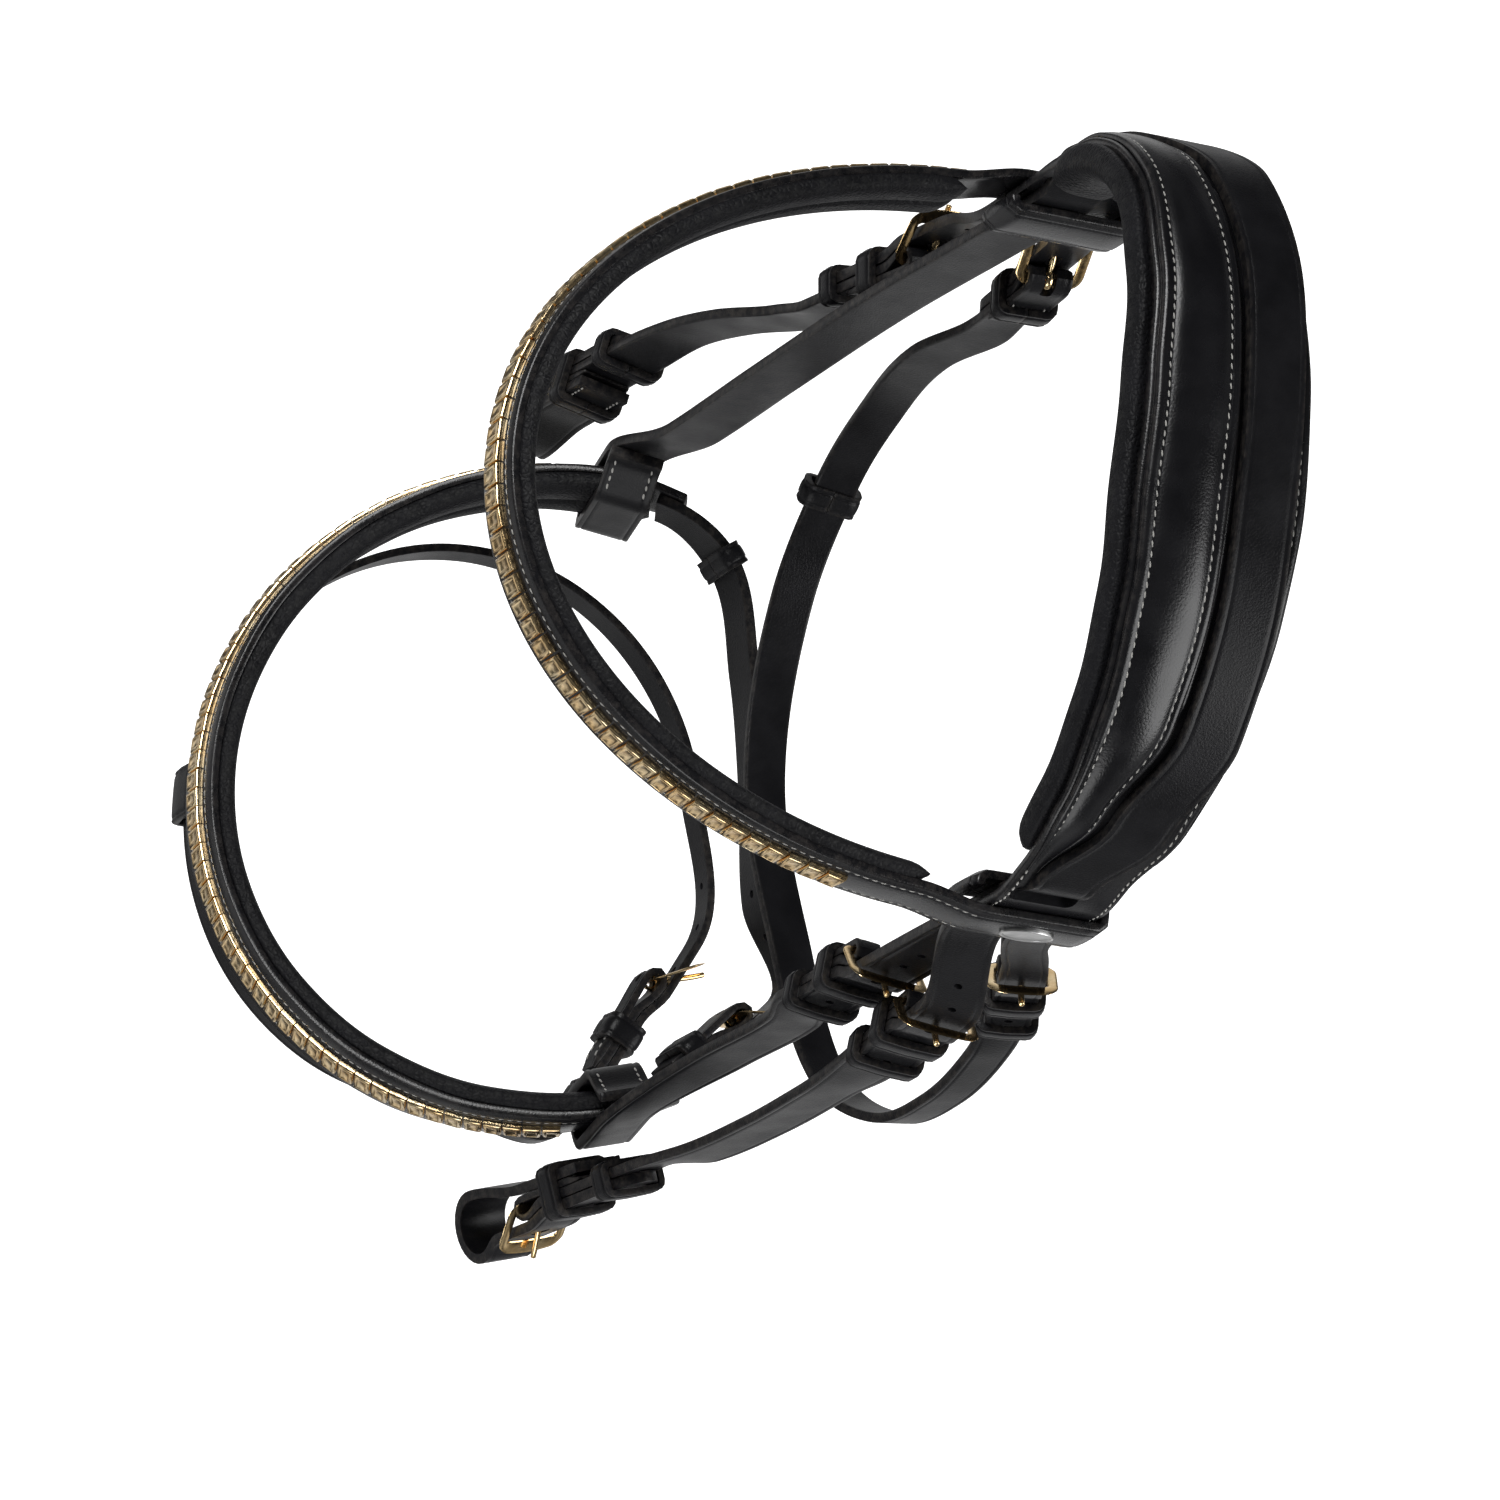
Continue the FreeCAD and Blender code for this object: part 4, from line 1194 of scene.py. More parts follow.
@dataclass
class Clincher:
    """One gold tile: a pillow with a raised rim round a slightly hollow face."""

    pillow: float = 0.85
    rim: float = 0.3
    slope: float = 0.45
    hollow: float = 0.3
    stray_tilt: float = 2.2
    stray_turn: float = 1.2

    def tile(self, name: str) -> bpy.types.Object:
        """The tile, standing on the origin."""
        size = (SIZE.tile_pitch - SIZE.tile_gap, SIZE.tile_width, SIZE.tile_height)
        clear_selection()
        bpy.ops.mesh.primitive_cube_add(size=1.0, location=(0, 0, SIZE.tile_height / 2 * MM),
                                        scale=[side * MM for side in size])
        tile = start_piece(name)
        settle_size()
        select_parts(tile, "FACE", lambda face: face.normal.z > 0.9)
        bpy.ops.mesh.bevel(offset=self.pillow * MM, segments=3, profile=0.5)
        end_edit()
        top = max(tile.data.polygons, key=lambda face: face.area * (face.normal.z > 0.98)).index
        select_parts(tile, "FACE", lambda face: face.index == top)
        bpy.ops.mesh.inset(thickness=self.rim * MM, depth=0.0)
        bpy.ops.mesh.inset(thickness=self.slope * MM, depth=-self.hollow * MM)
        end_edit()
        points = read_points(tile) / MM
        drop = 0.3 * (points[:, 1] / (SIZE.tile_width / 2)) ** 2
        points[:, 2] -= drop * (points[:, 2] > 0.6)
        write_points(tile, points * MM)
        return tile

    def row(self, name: str, way: Way, first: float, last: float) -> bpy.types.Object:
        """Tiles at an even pitch along a band.

        Args:
            name: name of the piece.
            way: the band's way.
            first: length along the way where the row starts.
            last: length along the way where it ends.

        Returns:
            The row as one piece.
        """
        count = int((last - first) / SIZE.tile_pitch)
        shake = random.Random(name)
        places = []
        for k in range(count):
            x = first + (k + 0.5) * (last - first) / count
            tilt = Matrix.Rotation(
                math.radians(shake.uniform(-self.stray_tilt, self.stray_tilt)), 4, "Y")
            turn = Matrix.Rotation(
                math.radians(shake.uniform(-self.stray_turn, self.stray_turn)), 4, "Z")
            places.append(way.place(x, 0.0, SIZE.tile_seat).matrix() @ turn @ tilt)
        piece = repeat(name, self.tile(name + "_one"), places)
        smooth(piece, 35.0)
        return piece


# ---------------------------------------------------------------- shared ways
FREE_AT = 58.0                    # where a folded strap hangs free, below its heel bar
FOLD_BEND = 4                     # marks of a folded strap's bend and of its outer layer
FOLD_TOP = 6
SLOT_HALF = 1.6                   # half the width of a prong's slot


def out_of(sign: int, turn: float = 0.0) -> Vector:
    """Outward direction on a side of the head, turned towards the rear by degrees."""
    turn = math.radians(turn)
    return Vector((sign * math.cos(turn), math.sin(turn), 0))


def fold_cuts(place: Place, width: float, thick: float) -> list[Cut]:
    """Leather folded round the heel bar: its tail inside, round the bar and down the strap."""
    r, t = SIZE.bar_radius, SIZE.turn_thick
    under = -thick / 2 - t / 2 - 0.05
    tail = [plain(place.turned(33.5, under + 0.4, BACK, IN), width - 1, 1.0)]
    rows = [(28.0, under, BACK, IN), (13.0, under, BACK, IN), (1.5, -r, BACK, IN),
            (-r, 0, OUT, BACK), (1.5, r, AHEAD, OUT)]
    tail += [plain(place.turned(*row), width, t) for row in rows]
    return tail + [plain(place, width, thick, x) for x in (12.5, 34.0)]


def billet_cuts(place: Place, width: float, thick: float, tip_at: float) -> list[Cut]:
    """From before the front bar, over the fold, down on to the strap and to the point."""
    high, low = SIZE.over_fold(thick), SIZE.over_strap(thick)
    rows = [(-16, high), (1.5, high), (13.5, low), (tip_at - 12, low), (tip_at, low)]
    return [plain(place, width, thick, x, z) for x, z in rows]


def ring_place(angle: float, centre: Vector, half: float, reach: float, tilt: float,
               yaw: float = 0.0) -> Place:
    """Place on a band round the front of the head.

    Args:
        angle: degrees from the front to the near side.
        centre: middle of the band.
        half: half of the band's width across the head.
        reach: from the middle to the front.
        tilt: rise to the rear.
        yaw: turn to the near side in degrees.

    Returns:
        The place, running to the near side.
    """
    a, y = math.radians(angle), math.radians(yaw)

    def turn(u: float, v: float) -> Vector:
        """A direction in the band's own tilted and turned plane."""
        w = u * math.sin(y) + v * math.cos(y)
        return Vector((u * math.cos(y) - v * math.sin(y), w, w * tilt))

    at = centre + turn(half * math.sin(a), -reach * math.cos(a))
    along = turn(half * math.cos(a), reach * math.sin(a))
    out = turn(reach * math.sin(a), -half * math.cos(a))
    return Place(at, along, Vector((out.x, out.y, 0)))


def lengths_at(place: Callable[[float], Place], end: int, angles: Iterable[float]) -> list[float]:
    """Lengths along a band at angles.

    Args:
        place: gives the band's place at an angle.
        end: angle of the band's ends, where its length starts.
        angles: the angles asked for.

    Returns:
        One length for each angle.
    """
    fine = 4
    points = [place(a / fine).at for a in range(-end * fine, end * fine + 1)]
    steps = np.cumsum([0.0] + [(q - p).length for p, q in zip(points, points[1:])])
    return [float(np.interp((angle + end) * fine, range(len(steps)), steps)) for angle in angles]


def fold_slot(way: Way, mark: int) -> Slit:
    """The prong's slot in a fold whose bend is at a marked cross-section."""
    reach = 7.0
    return way.marks[mark] - reach, way.marks[mark] + reach, -SLOT_HALF, SLOT_HALF


def prong_slot(over: float) -> Slit:
    """The slot that the prong comes up through, just before a billet crosses its heel bar."""
    return over - 9.7, over - 1.9, -SLOT_HALF, SLOT_HALF


def both_sides(way: Way, first: float, last: float, share: float, lift: float = 0.0) -> list[Row]:
    """A row of stitches beside each edge, at a share of the half width."""
    return [(way, first, last, side * share, lift) for side in (-1, 1)]


def fold_rows(way: Way, tail: int, top: int, toward: int) -> list[Row]:
    """Stitch rows beside both edges of a fold, on its tail and on its outer face.

    Args:
        way: the strap's way.
        tail: mark at the tail's end.
        top: mark where the outer layer leaves the fold.
        toward: +1 if the way runs from the tail to the strap, -1 if it runs to the tail.

    Returns:
        The rows.
    """
    rows = []
    for share in (-0.72, 0.72):
        for mark, near, far in ((tail, 3.0, 19.5), (top, 1.0, 20.0)):
            ends = sorted(way.marks[mark] + toward * reach for reach in (near, far))
            rows.append((way, *ends, share, 0.0))
    return rows


@dataclass
class Workshop:
    """What every sub-assembly needs: the finishes and the making of common pieces."""

    finishes: Finishes
    stitching: Stitching = field(default_factory=Stitching)
    clincher: Clincher = field(default_factory=Clincher)

    def dress(self, piece: bpy.types.Object, slot: Slot, body: str, nodes: Sequence[str] = (),
              blend: Optional[Bend] = None) -> None:
        """Give a leather piece its finish, put it on its body and hide the nodes it stands for.

        Args:
            piece: the piece of leather.
            slot: its finish.
            body: the body it rides on.
            nodes: the nodes it stands for.
            blend: another body that it leaves, and where it would bend; if given, it is baked in
                place on no body.
        """
        self.settle(piece, self.finishes.sides(slot), slot, body, nodes, blend)

    def settle(self, piece: bpy.types.Object, materials: Sequence[bpy.types.Material], slot: Slot,
               body: str, nodes: Sequence[str] = (), blend: Optional[Bend] = None) -> None:
        """Give a piece its materials, put it on its body and hide the model's parts that it stands
        for.

        Args:
            piece: the finished piece.
            materials: its materials, in the order of its material slots.
            slot: the piece's finish; not used.
            body: the body it rides on.
            nodes: the nodes it stands for.
            blend: another body that it leaves, and where it would bend; if given, it is baked in
                place on no body.
        """
        piece.data.materials.clear()
        for material in materials:
            piece.data.materials.append(material)
        if blend:
            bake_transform(piece)
        else:
            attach(piece, body)
        if nodes:
            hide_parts(*nodes)
        LOG.info("%s: %d faces on %s", piece.name, len(piece.data.polygons), body)

    def sew(self, name: str, rows: Sequence[Row], body: str) -> None:
        """Sew rows of stitches that ride with a body."""
        self.settle(self.stitching.sew(name, rows), [self.finishes.thread], Slot.STRAP, body)

    def clinchers(self, body: str, way: Way, first: float, last: float) -> None:
        """A row of gold tiles along a band, between two lengths."""
        tiles = self.clincher.row(f"{body}_clincher_tiles", way, first, last)
        self.settle(tiles, [self.finishes.tile], Slot.GOLD, body, [f"{body}_clinchers"])

    def lining(self, name: str, way: Way, width: float, thick: float, shape: Three,
               pitch: float, body: str, node: str, fill: float) -> None:
        """A stuffed lining.

        Args:
            name: name of the piece.
            way: its way.
            width: its width.
            thick: its full thickness.
            shape: lip's height, share of the half width where it starts, and channel's depth.
            pitch: length of its faces.
            body: the body it rides on.
            node: the node it stands for.
            fill: how tightly it is stuffed; not used.
        """
        piece = Blank(way.length, width, thick, rolled(thick, *shape), pitch=pitch,
                      stuffed=True).lay(name, way)
        self.dress(piece, Slot.LINING, body, [node])

    def buckle(self, name: str, place: Place, width: float, thick: float, body: str) -> None:
        """A buckle's frame on its strap and the prong on its own body.

        Args:
            name: name that its pieces start with.
            place: the heel bar's place on the strap.
            width: width of the strap.
            thick: thickness of the strap.
            body: the strap's body.
        """
        buckle, gold = Buckle(width, thick), [self.finishes.gold]
        self.settle(buckle.frame(f"{name}_buckle_wire", place), gold, Slot.GOLD, body,
                    [f"{name}_buckle"])
        self.settle(buckle.prong(f"{name}_prong_wire", place), gold, Slot.GOLD, f"{name}_prong",
                    [f"{name}_prong"])

    def loop(self, name: str, place: Place, x: float, width: float, under: float, over: float,
             length: float, body: str, nodes: Sequence[str]) -> None:
        """A loop of leather round a strap and what lies on it.

        Args:
            name: name of the piece.
            place: a place on the strap.
            x: distance of the loop from that place, along the strap.
            width: width of the strap.
            under: depth of the layers below the strap's middle.
            over: height of the layers above it.
            length: the loop's own length.
            body: the body it rides on.
            nodes: the nodes it stands for.
        """
        gap = SIZE.lay_gap
        loop = LeatherLoop(width / 2 + gap, -under - gap, over + gap, length)
        self.dress(loop.make(name, place.moved(x)), Slot.STRAP, body, nodes)

    def keeper(self, name: str, place: Place, width: float, thick: float, body: str,
               nodes: Sequence[str], under: float = 0.0) -> None:
        """The fixed keeper just below a buckle.

        Args:
            name: name of the piece.
            place: the buckle's place.
            width: width of the strap.
            thick: thickness of the strap.
            body: the strap's body.
            nodes: the nodes it stands for.
            under: thickness of a further layer below.
        """
        self.loop(name, place, SIZE.keeper_at, width, thick / 2 + SIZE.turn_thick + under,
                  SIZE.over_strap(thick) + thick / 2, SIZE.keeper_length, body, nodes)

    def runner(self, name: str, place: Place, width: float, thick: float, x: float, body: str,
               nodes: Sequence[str]) -> None:
        """A keeper that slides on the strap and the billet.

        Args:
            name: name of the piece.
            place: the buckle's place.
            width: width of the strap.
            thick: thickness of the strap.
            x: its distance from the buckle.
            body: the body it rides on.
            nodes: the nodes it stands for.
        """
        self.loop(name, place, x, width, thick / 2, SIZE.over_strap(thick) + thick / 2,
                  SIZE.runner_length, body, nodes)


# ---------------------------------------------------------------- headpiece
@dataclass
class Headpiece:
    """Padded crown, its polished front panel, and the noseband's head strap with its hanger."""

    shop: Workshop
    arch: Sequence[Pair] = (
        (1.0, -49), (0.88, -27), (0.66, -8), (0.37, 6), (0.08, 12.5),
        (-0.23, 15.5), (-0.56, 13.5), (-0.86, 1), (-1.02, -24), (-1.04, -49))
    head_strap_front: Sequence[float] = (
        -12, -12, -11, -3, 4.3, 4.8, 4.6, 4.6, 4.6, 3.2, -5, -12, -13, -13)
    crown_rises: Sequence[Pair] = (
        (-1.0, -0.3), (-0.955, 0.0), (-0.915, 0.1), (-0.885, -0.3), (-0.855, 0.15), (-0.82, 0.1),
        (-0.79, 0.0), (-0.5, 0.0), (-0.2, 0.0), (-0.13, 0.3), (-0.085, 1.5), (-0.045, 2.1),
        (-0.005, 1.6), (0.04, 0.3), (0.1, 0.0), (0.4, 0.0), (0.75, 0.0), (0.86, 0.0),
        (0.9, -0.28), (0.94, 0.0), (1.0, -0.3))
    panel_rises: Sequence[Pair] = (
        (-1.0, -0.6), (-0.9, -0.15), (-0.8, -0.05), (-0.73, -0.5), (-0.66, 0.05), (-0.5, 0.7),
        (-0.25, 1.15), (0.0, 1.3), (0.25, 1.15), (0.5, 0.7), (0.66, 0.05), (0.73, -0.5),
        (0.8, -0.05), (0.9, -0.15), (1.0, -0.6))
    panel_widths: Sequence[float] = (3.4, 11.5, 20.0, 22.5, 23.5, 23.5, 21.5, 17.5, 9.0, 3.0)
    hanger_tip: float = 50.0
    body: str = "headpiece"

    def crown_cuts(self, width_top: float, width_end: float, thick: float, offset: float,
                   shifts: Optional[Sequence[float]] = None, ends: bool = True,
                   end_z: float = CROWN_END_Z) -> list[Cut]:
        """Across the poll.

        Args:
            width_top: width at the top of the head.
            width_end: width at the crown's ends.
            thick: thickness of the layer.
            offset: how far out the layer lies.
            shifts: how far each cross-section moves to the front.
            ends: whether the layer goes on down the crown's straight ends.
            end_z: height of those ends.

        Returns:
            The cross-sections from the near side to the far side.
        """
        scale = SIZE.head_half + 2
        points = [Vector((x * scale, CROWN_END_Y * abs(x) ** 3, z)) for x, z in self.arch]
        widths = [width_end + (width_top - width_end) * self.fullness(x) for x, z in self.arch]
        if ends:
            heights = (end_z, -SIZE.brow_drop + 13.5)
            points = [Vector((SIZE.crown_end_x, CROWN_END_Y, z)) for z in heights] + points
            points += [Vector((-SIZE.crown_end_x, CROWN_END_Y, z)) for z in reversed(heights)]
            widths = [width_end] * 2 + widths + [width_end] * 2
        cuts = []
        last = len(points) - 1
        for i, point in enumerate(points):
            along = points[min(i + 1, last)] - points[max(i - 1, 0)]
            if ends and i in (0, 1, last - 1, last):
                along = Vector((0, 0, 1 if i < 2 else -1))
            place = Place(point, along, Vector((0, 1, 0)).cross(along))
            rear = shifts[i] if shifts else 0.0
            cuts.append(plain(place.moved(0, -rear), widths[i], thick, 0, offset))
        return cuts

    @staticmethod
    def fullness(x: float) -> float:
        """How much of its full width the crown has at a share of the head's half width."""
        return max(1 - abs(x), 0) ** 0.5

    def build(self) -> None:
        """Make the crown's layers, the head strap and the near hanger."""
        self.crown()
        self.panel()
        self.padding()
        self.head_strap()
        self.near_hanger()

    def crown(self) -> None:
        """The crown's leather, with its ridge, its slots and its sewn margins."""
        extra = [0.0, 0.0] + [3.0 * self.fullness(x) for x, z in self.arch] + [0.0, 0.0]
        cuts = self.crown_cuts(SIZE.crown_top_width, SIZE.crown_end_width, SIZE.crown_thick, 0.0,
                               end_z=LEATHER_END_Z)
        for cut, more in zip(cuts, extra):
            cut.place = cut.place.moved(0, -more / 2)
            cut.width += more
        way = Way(cuts)
        marks, low, high = way.marks, 3.0, 6.0
        slots = [(marks[1] + low, marks[2] - high, -7.0, 20.0),
                 (marks[-3] + high, marks[-2] - low, -7.0, 20.0)]
        blank = Blank(way.length, SIZE.crown_top_width, SIZE.crown_thick,
                      [(share, rise, 0.0) for share, rise in self.crown_rises],
                      slots=slots, edge_round=0.8,
                      ridge_fade=[(marks[4], 0.0), (marks[4] + 7, 1.0), (marks[9] - 9, 1.0),
                                  (marks[9] - 2, 0.0)])
        self.shop.dress(blank.lay("crown_leather_outer", way), Slot.POLISHED, self.body,
                        ["crown_leather"])
        rows = [(way, 8.0, way.length - 8.0, -0.885, -0.1), (way, 8.0, marks[2] + 6, 0.9, -0.1),
                (way, marks[-3] - 6, way.length - 8.0, 0.9, -0.1)]
        self.shop.sew("crown_margin_stitches", rows, self.body)

    def panel(self) -> None:
        """The raised front panel with two sewn lines that run together at its ends."""
        offset = (SIZE.crown_thick + SIZE.panel_thick) / 2 + 0.05
        cuts = self.crown_cuts(25.0, 25.0, SIZE.panel_thick, offset, ends=False)
        spread = SIZE.crown_top_width - SIZE.crown_end_width
        for cut, width, (x, z) in zip(cuts, self.panel_widths, self.arch):
            crown = SIZE.crown_end_width + spread * self.fullness(x)
            cut.place = cut.place.moved(0, (crown - width) / 2 - 1.0)
            cut.width = width
            share = min(1.0, width / 20.0)
            cut.lo, cut.hi = -SIZE.panel_thick / 2, SIZE.panel_thick * (share - 0.5)
        way = Way(cuts)
        blank = Blank(way.length, 24.0, SIZE.panel_thick,
                      [(share, rise, 0.0) for share, rise in self.panel_rises], edge_round=0.7)
        self.shop.dress(blank.lay("crown_panel_raised", way), Slot.POLISHED, self.body,
                        ["crown_front_panel"])
        rows = [(way, 2.0, way.length - 2.0, 0.73, -0.35),
                (way, way.marks[1] - 6, way.marks[-2] + 6, -0.73, -0.35)]
        self.shop.sew("crown_panel_stitches", rows, self.body)

    def padding(self) -> None:
        """The stuffed lining under the crown, whose rolls stand beside the leather."""
        offset = -(SIZE.crown_thick + SIZE.crown_pad) / 2 - 0.1
        width = SIZE.crown_top_width + 10
        cuts = self.crown_cuts(width, SIZE.crown_end_width + 7, SIZE.crown_pad, offset, ends=False)
        self.shop.lining("crown_lining_rolls", Way(cuts), width, SIZE.crown_pad, (2.6, 0.86, 2.4),
                         5.0, self.body, "crown_padding", 0.8)

    def head_way(self) -> list[Cut]:
        """Over the crown, through both slots and down inside its ends."""
        shifts = [front + SIZE.strap_width / 2 for front in self.head_strap_front]
        head = self.crown_cuts(SIZE.strap_width, SIZE.strap_width, SIZE.strap_thick,
                               SIZE.head_offset, shifts)
        for i in (0, 1, -2, -1):
            head[i].place = head[i].place.moved(0, 0, -2 * SIZE.head_offset)
        head[0].place = head[0].place.moved(10)
        head[-1].place = head[-1].place.moved(-10)
        return head

    @property
    def hanger_x(self) -> float:
        """Middle of the head strap inside the crown's ends."""
        return SIZE.crown_end_x - SIZE.head_offset

    @property
    def near_heel(self) -> Place:
        """Heel bar of the near hanger's buckle."""
        x = self.hanger_x - SIZE.over_fold(SIZE.strap_thick)
        return Place(Vector((x, -6.0, -(SIZE.brow_drop + 96.0))), Vector((0, 0.04, -1)),
                     out_of(1, -8))

    def hold_cuts(self, side: Side) -> list[Cut]:
        """A hanger's lower end: down outside the noseband, under it, up inside and back."""
        ring = Noseband.place(side.sign * Noseband.LOOP_ANGLE)
        stack = SIZE.nose_thick + SIZE.lay_gap + SIZE.nose_pad
        middle = ring.point(0, 0, -(SIZE.nose_pad + SIZE.lay_gap) / 2)
        hold = Place(middle, Vector((0, Noseband.TILT / 2, -1)), ring.out)
        lay = stack / 2 + SIZE.hold_gap + SIZE.strap_thick / 2
        skew = math.atan(Noseband.TILT) - math.atan(Noseband.TILT / 2)
        half = (SIZE.nose_width / 2 / math.cos(skew) + SIZE.strap_width / 2 * math.tan(skew)
                + SIZE.nose_loop_gap + SIZE.strap_thick / 2)
        corner = 4.4
        flat = half - corner
        rows = [(-flat - 3, lay, AHEAD, OUT), (flat, lay, AHEAD, OUT),
                (half, lay - corner, IN, AHEAD), (half, corner - lay, IN, AHEAD),
                (flat, -lay, BACK, IN), (1 - half, -lay, BACK, IN),
                (-half - 14, lay - SIZE.strap_thick - SIZE.lay_gap - 1.5, BACK, IN)]
        return [plain(hold.turned(*row), SIZE.strap_width, SIZE.strap_thick) for row in rows]

    def hold_rows(self, way: Way) -> list[Row]:
        """Stitches that close a hanger's loop, at its way's end."""
        return both_sides(way, way.length - 13, way.length - 2, 0.7)

    def strap_blank(self, way: Way, **more: object) -> Blank:
        """A plain strap of the bridle's usual width."""
        return Blank(way.length, SIZE.strap_width, SIZE.strap_thick, creased(SIZE.strap_width),
                     **more)

    def head_strap(self) -> None:
        """From its point on the near side over the poll to the far hanger's loop."""
        w, t = SIZE.strap_width, SIZE.strap_thick
        near = backwards(billet_cuts(self.near_heel, w, t, self.hanger_tip))
        x, brow, nose = self.hanger_x, SIZE.brow_drop, SIZE.nose_drop
        path = [(x, -12, -(brow + 4)), (x, -13, -(brow + 25)), (x, -17, -(brow + 90)),
                (x, -18, -(nose - 124)), (x + 1, -17, -(nose - 63)), (x + 2, -18, -(nose - 20))]
        points = [Vector((-a, b, c)) for a, b, c in path]
        far = through(points, [out_of(-1)] * len(points), w, t)[1:-1]
        way = Way(near + self.head_way() + far + self.hold_cuts(Side.FAR))
        tip = way.marks[3]
        blank = self.strap_blank(way, tips=(11.0, 0.0),
                                 slots=[(tip + 0.4, tip + 8.4, -SLOT_HALF, SLOT_HALF)],
                                 holes=[14.0, 27.0, tip + 22, tip + 35, tip + 48])
        self.shop.dress(blank.lay("head_strap_leather", way), Slot.STRAP, self.body,
                        ["noseband_head_strap"])
        self.shop.sew("far_hanger_stitches", self.hold_rows(way), self.body)

    def near_hanger(self) -> None:
        """The near hanger from its buckle down to its loop round the noseband."""
        w, t = SIZE.strap_width, SIZE.strap_thick
        heel = self.near_heel
        nose, x = SIZE.nose_drop, heel.at.x
        points = [heel.point(FREE_AT), Vector((x, 1, -(nose - 120))),
                  Vector((x + 2, -1, -(nose - 75))), Vector((x + 6, -6, -(nose - 40)))]
        free = through(points, [out_of(1)] * len(points), w, t)[1:-1]
        way = Way(fold_cuts(heel, w, t) + [plain(heel, w, t, FREE_AT)] + free
                  + self.hold_cuts(Side.NEAR))
        blank = self.strap_blank(way, slots=[fold_slot(way, FOLD_BEND)])
        self.shop.dress(blank.lay("near_hanger_leather", way), Slot.STRAP, self.body,
                        ["near_hanger_strap"])
        rows = fold_rows(way, 0, FOLD_TOP, 1) + self.hold_rows(way)
        self.shop.sew("near_hanger_stitches", rows, self.body)
        self.shop.buckle("near_hanger", heel, w, t, self.body)
        self.shop.keeper("near_hanger_keeper_loop", heel, w, t, self.body, ["near_hanger_keeper"])
        self.shop.runner("near_hanger_runner_loop", heel, w, t, 40, "near_hanger_runner",
                         ["near_hanger_runner"])


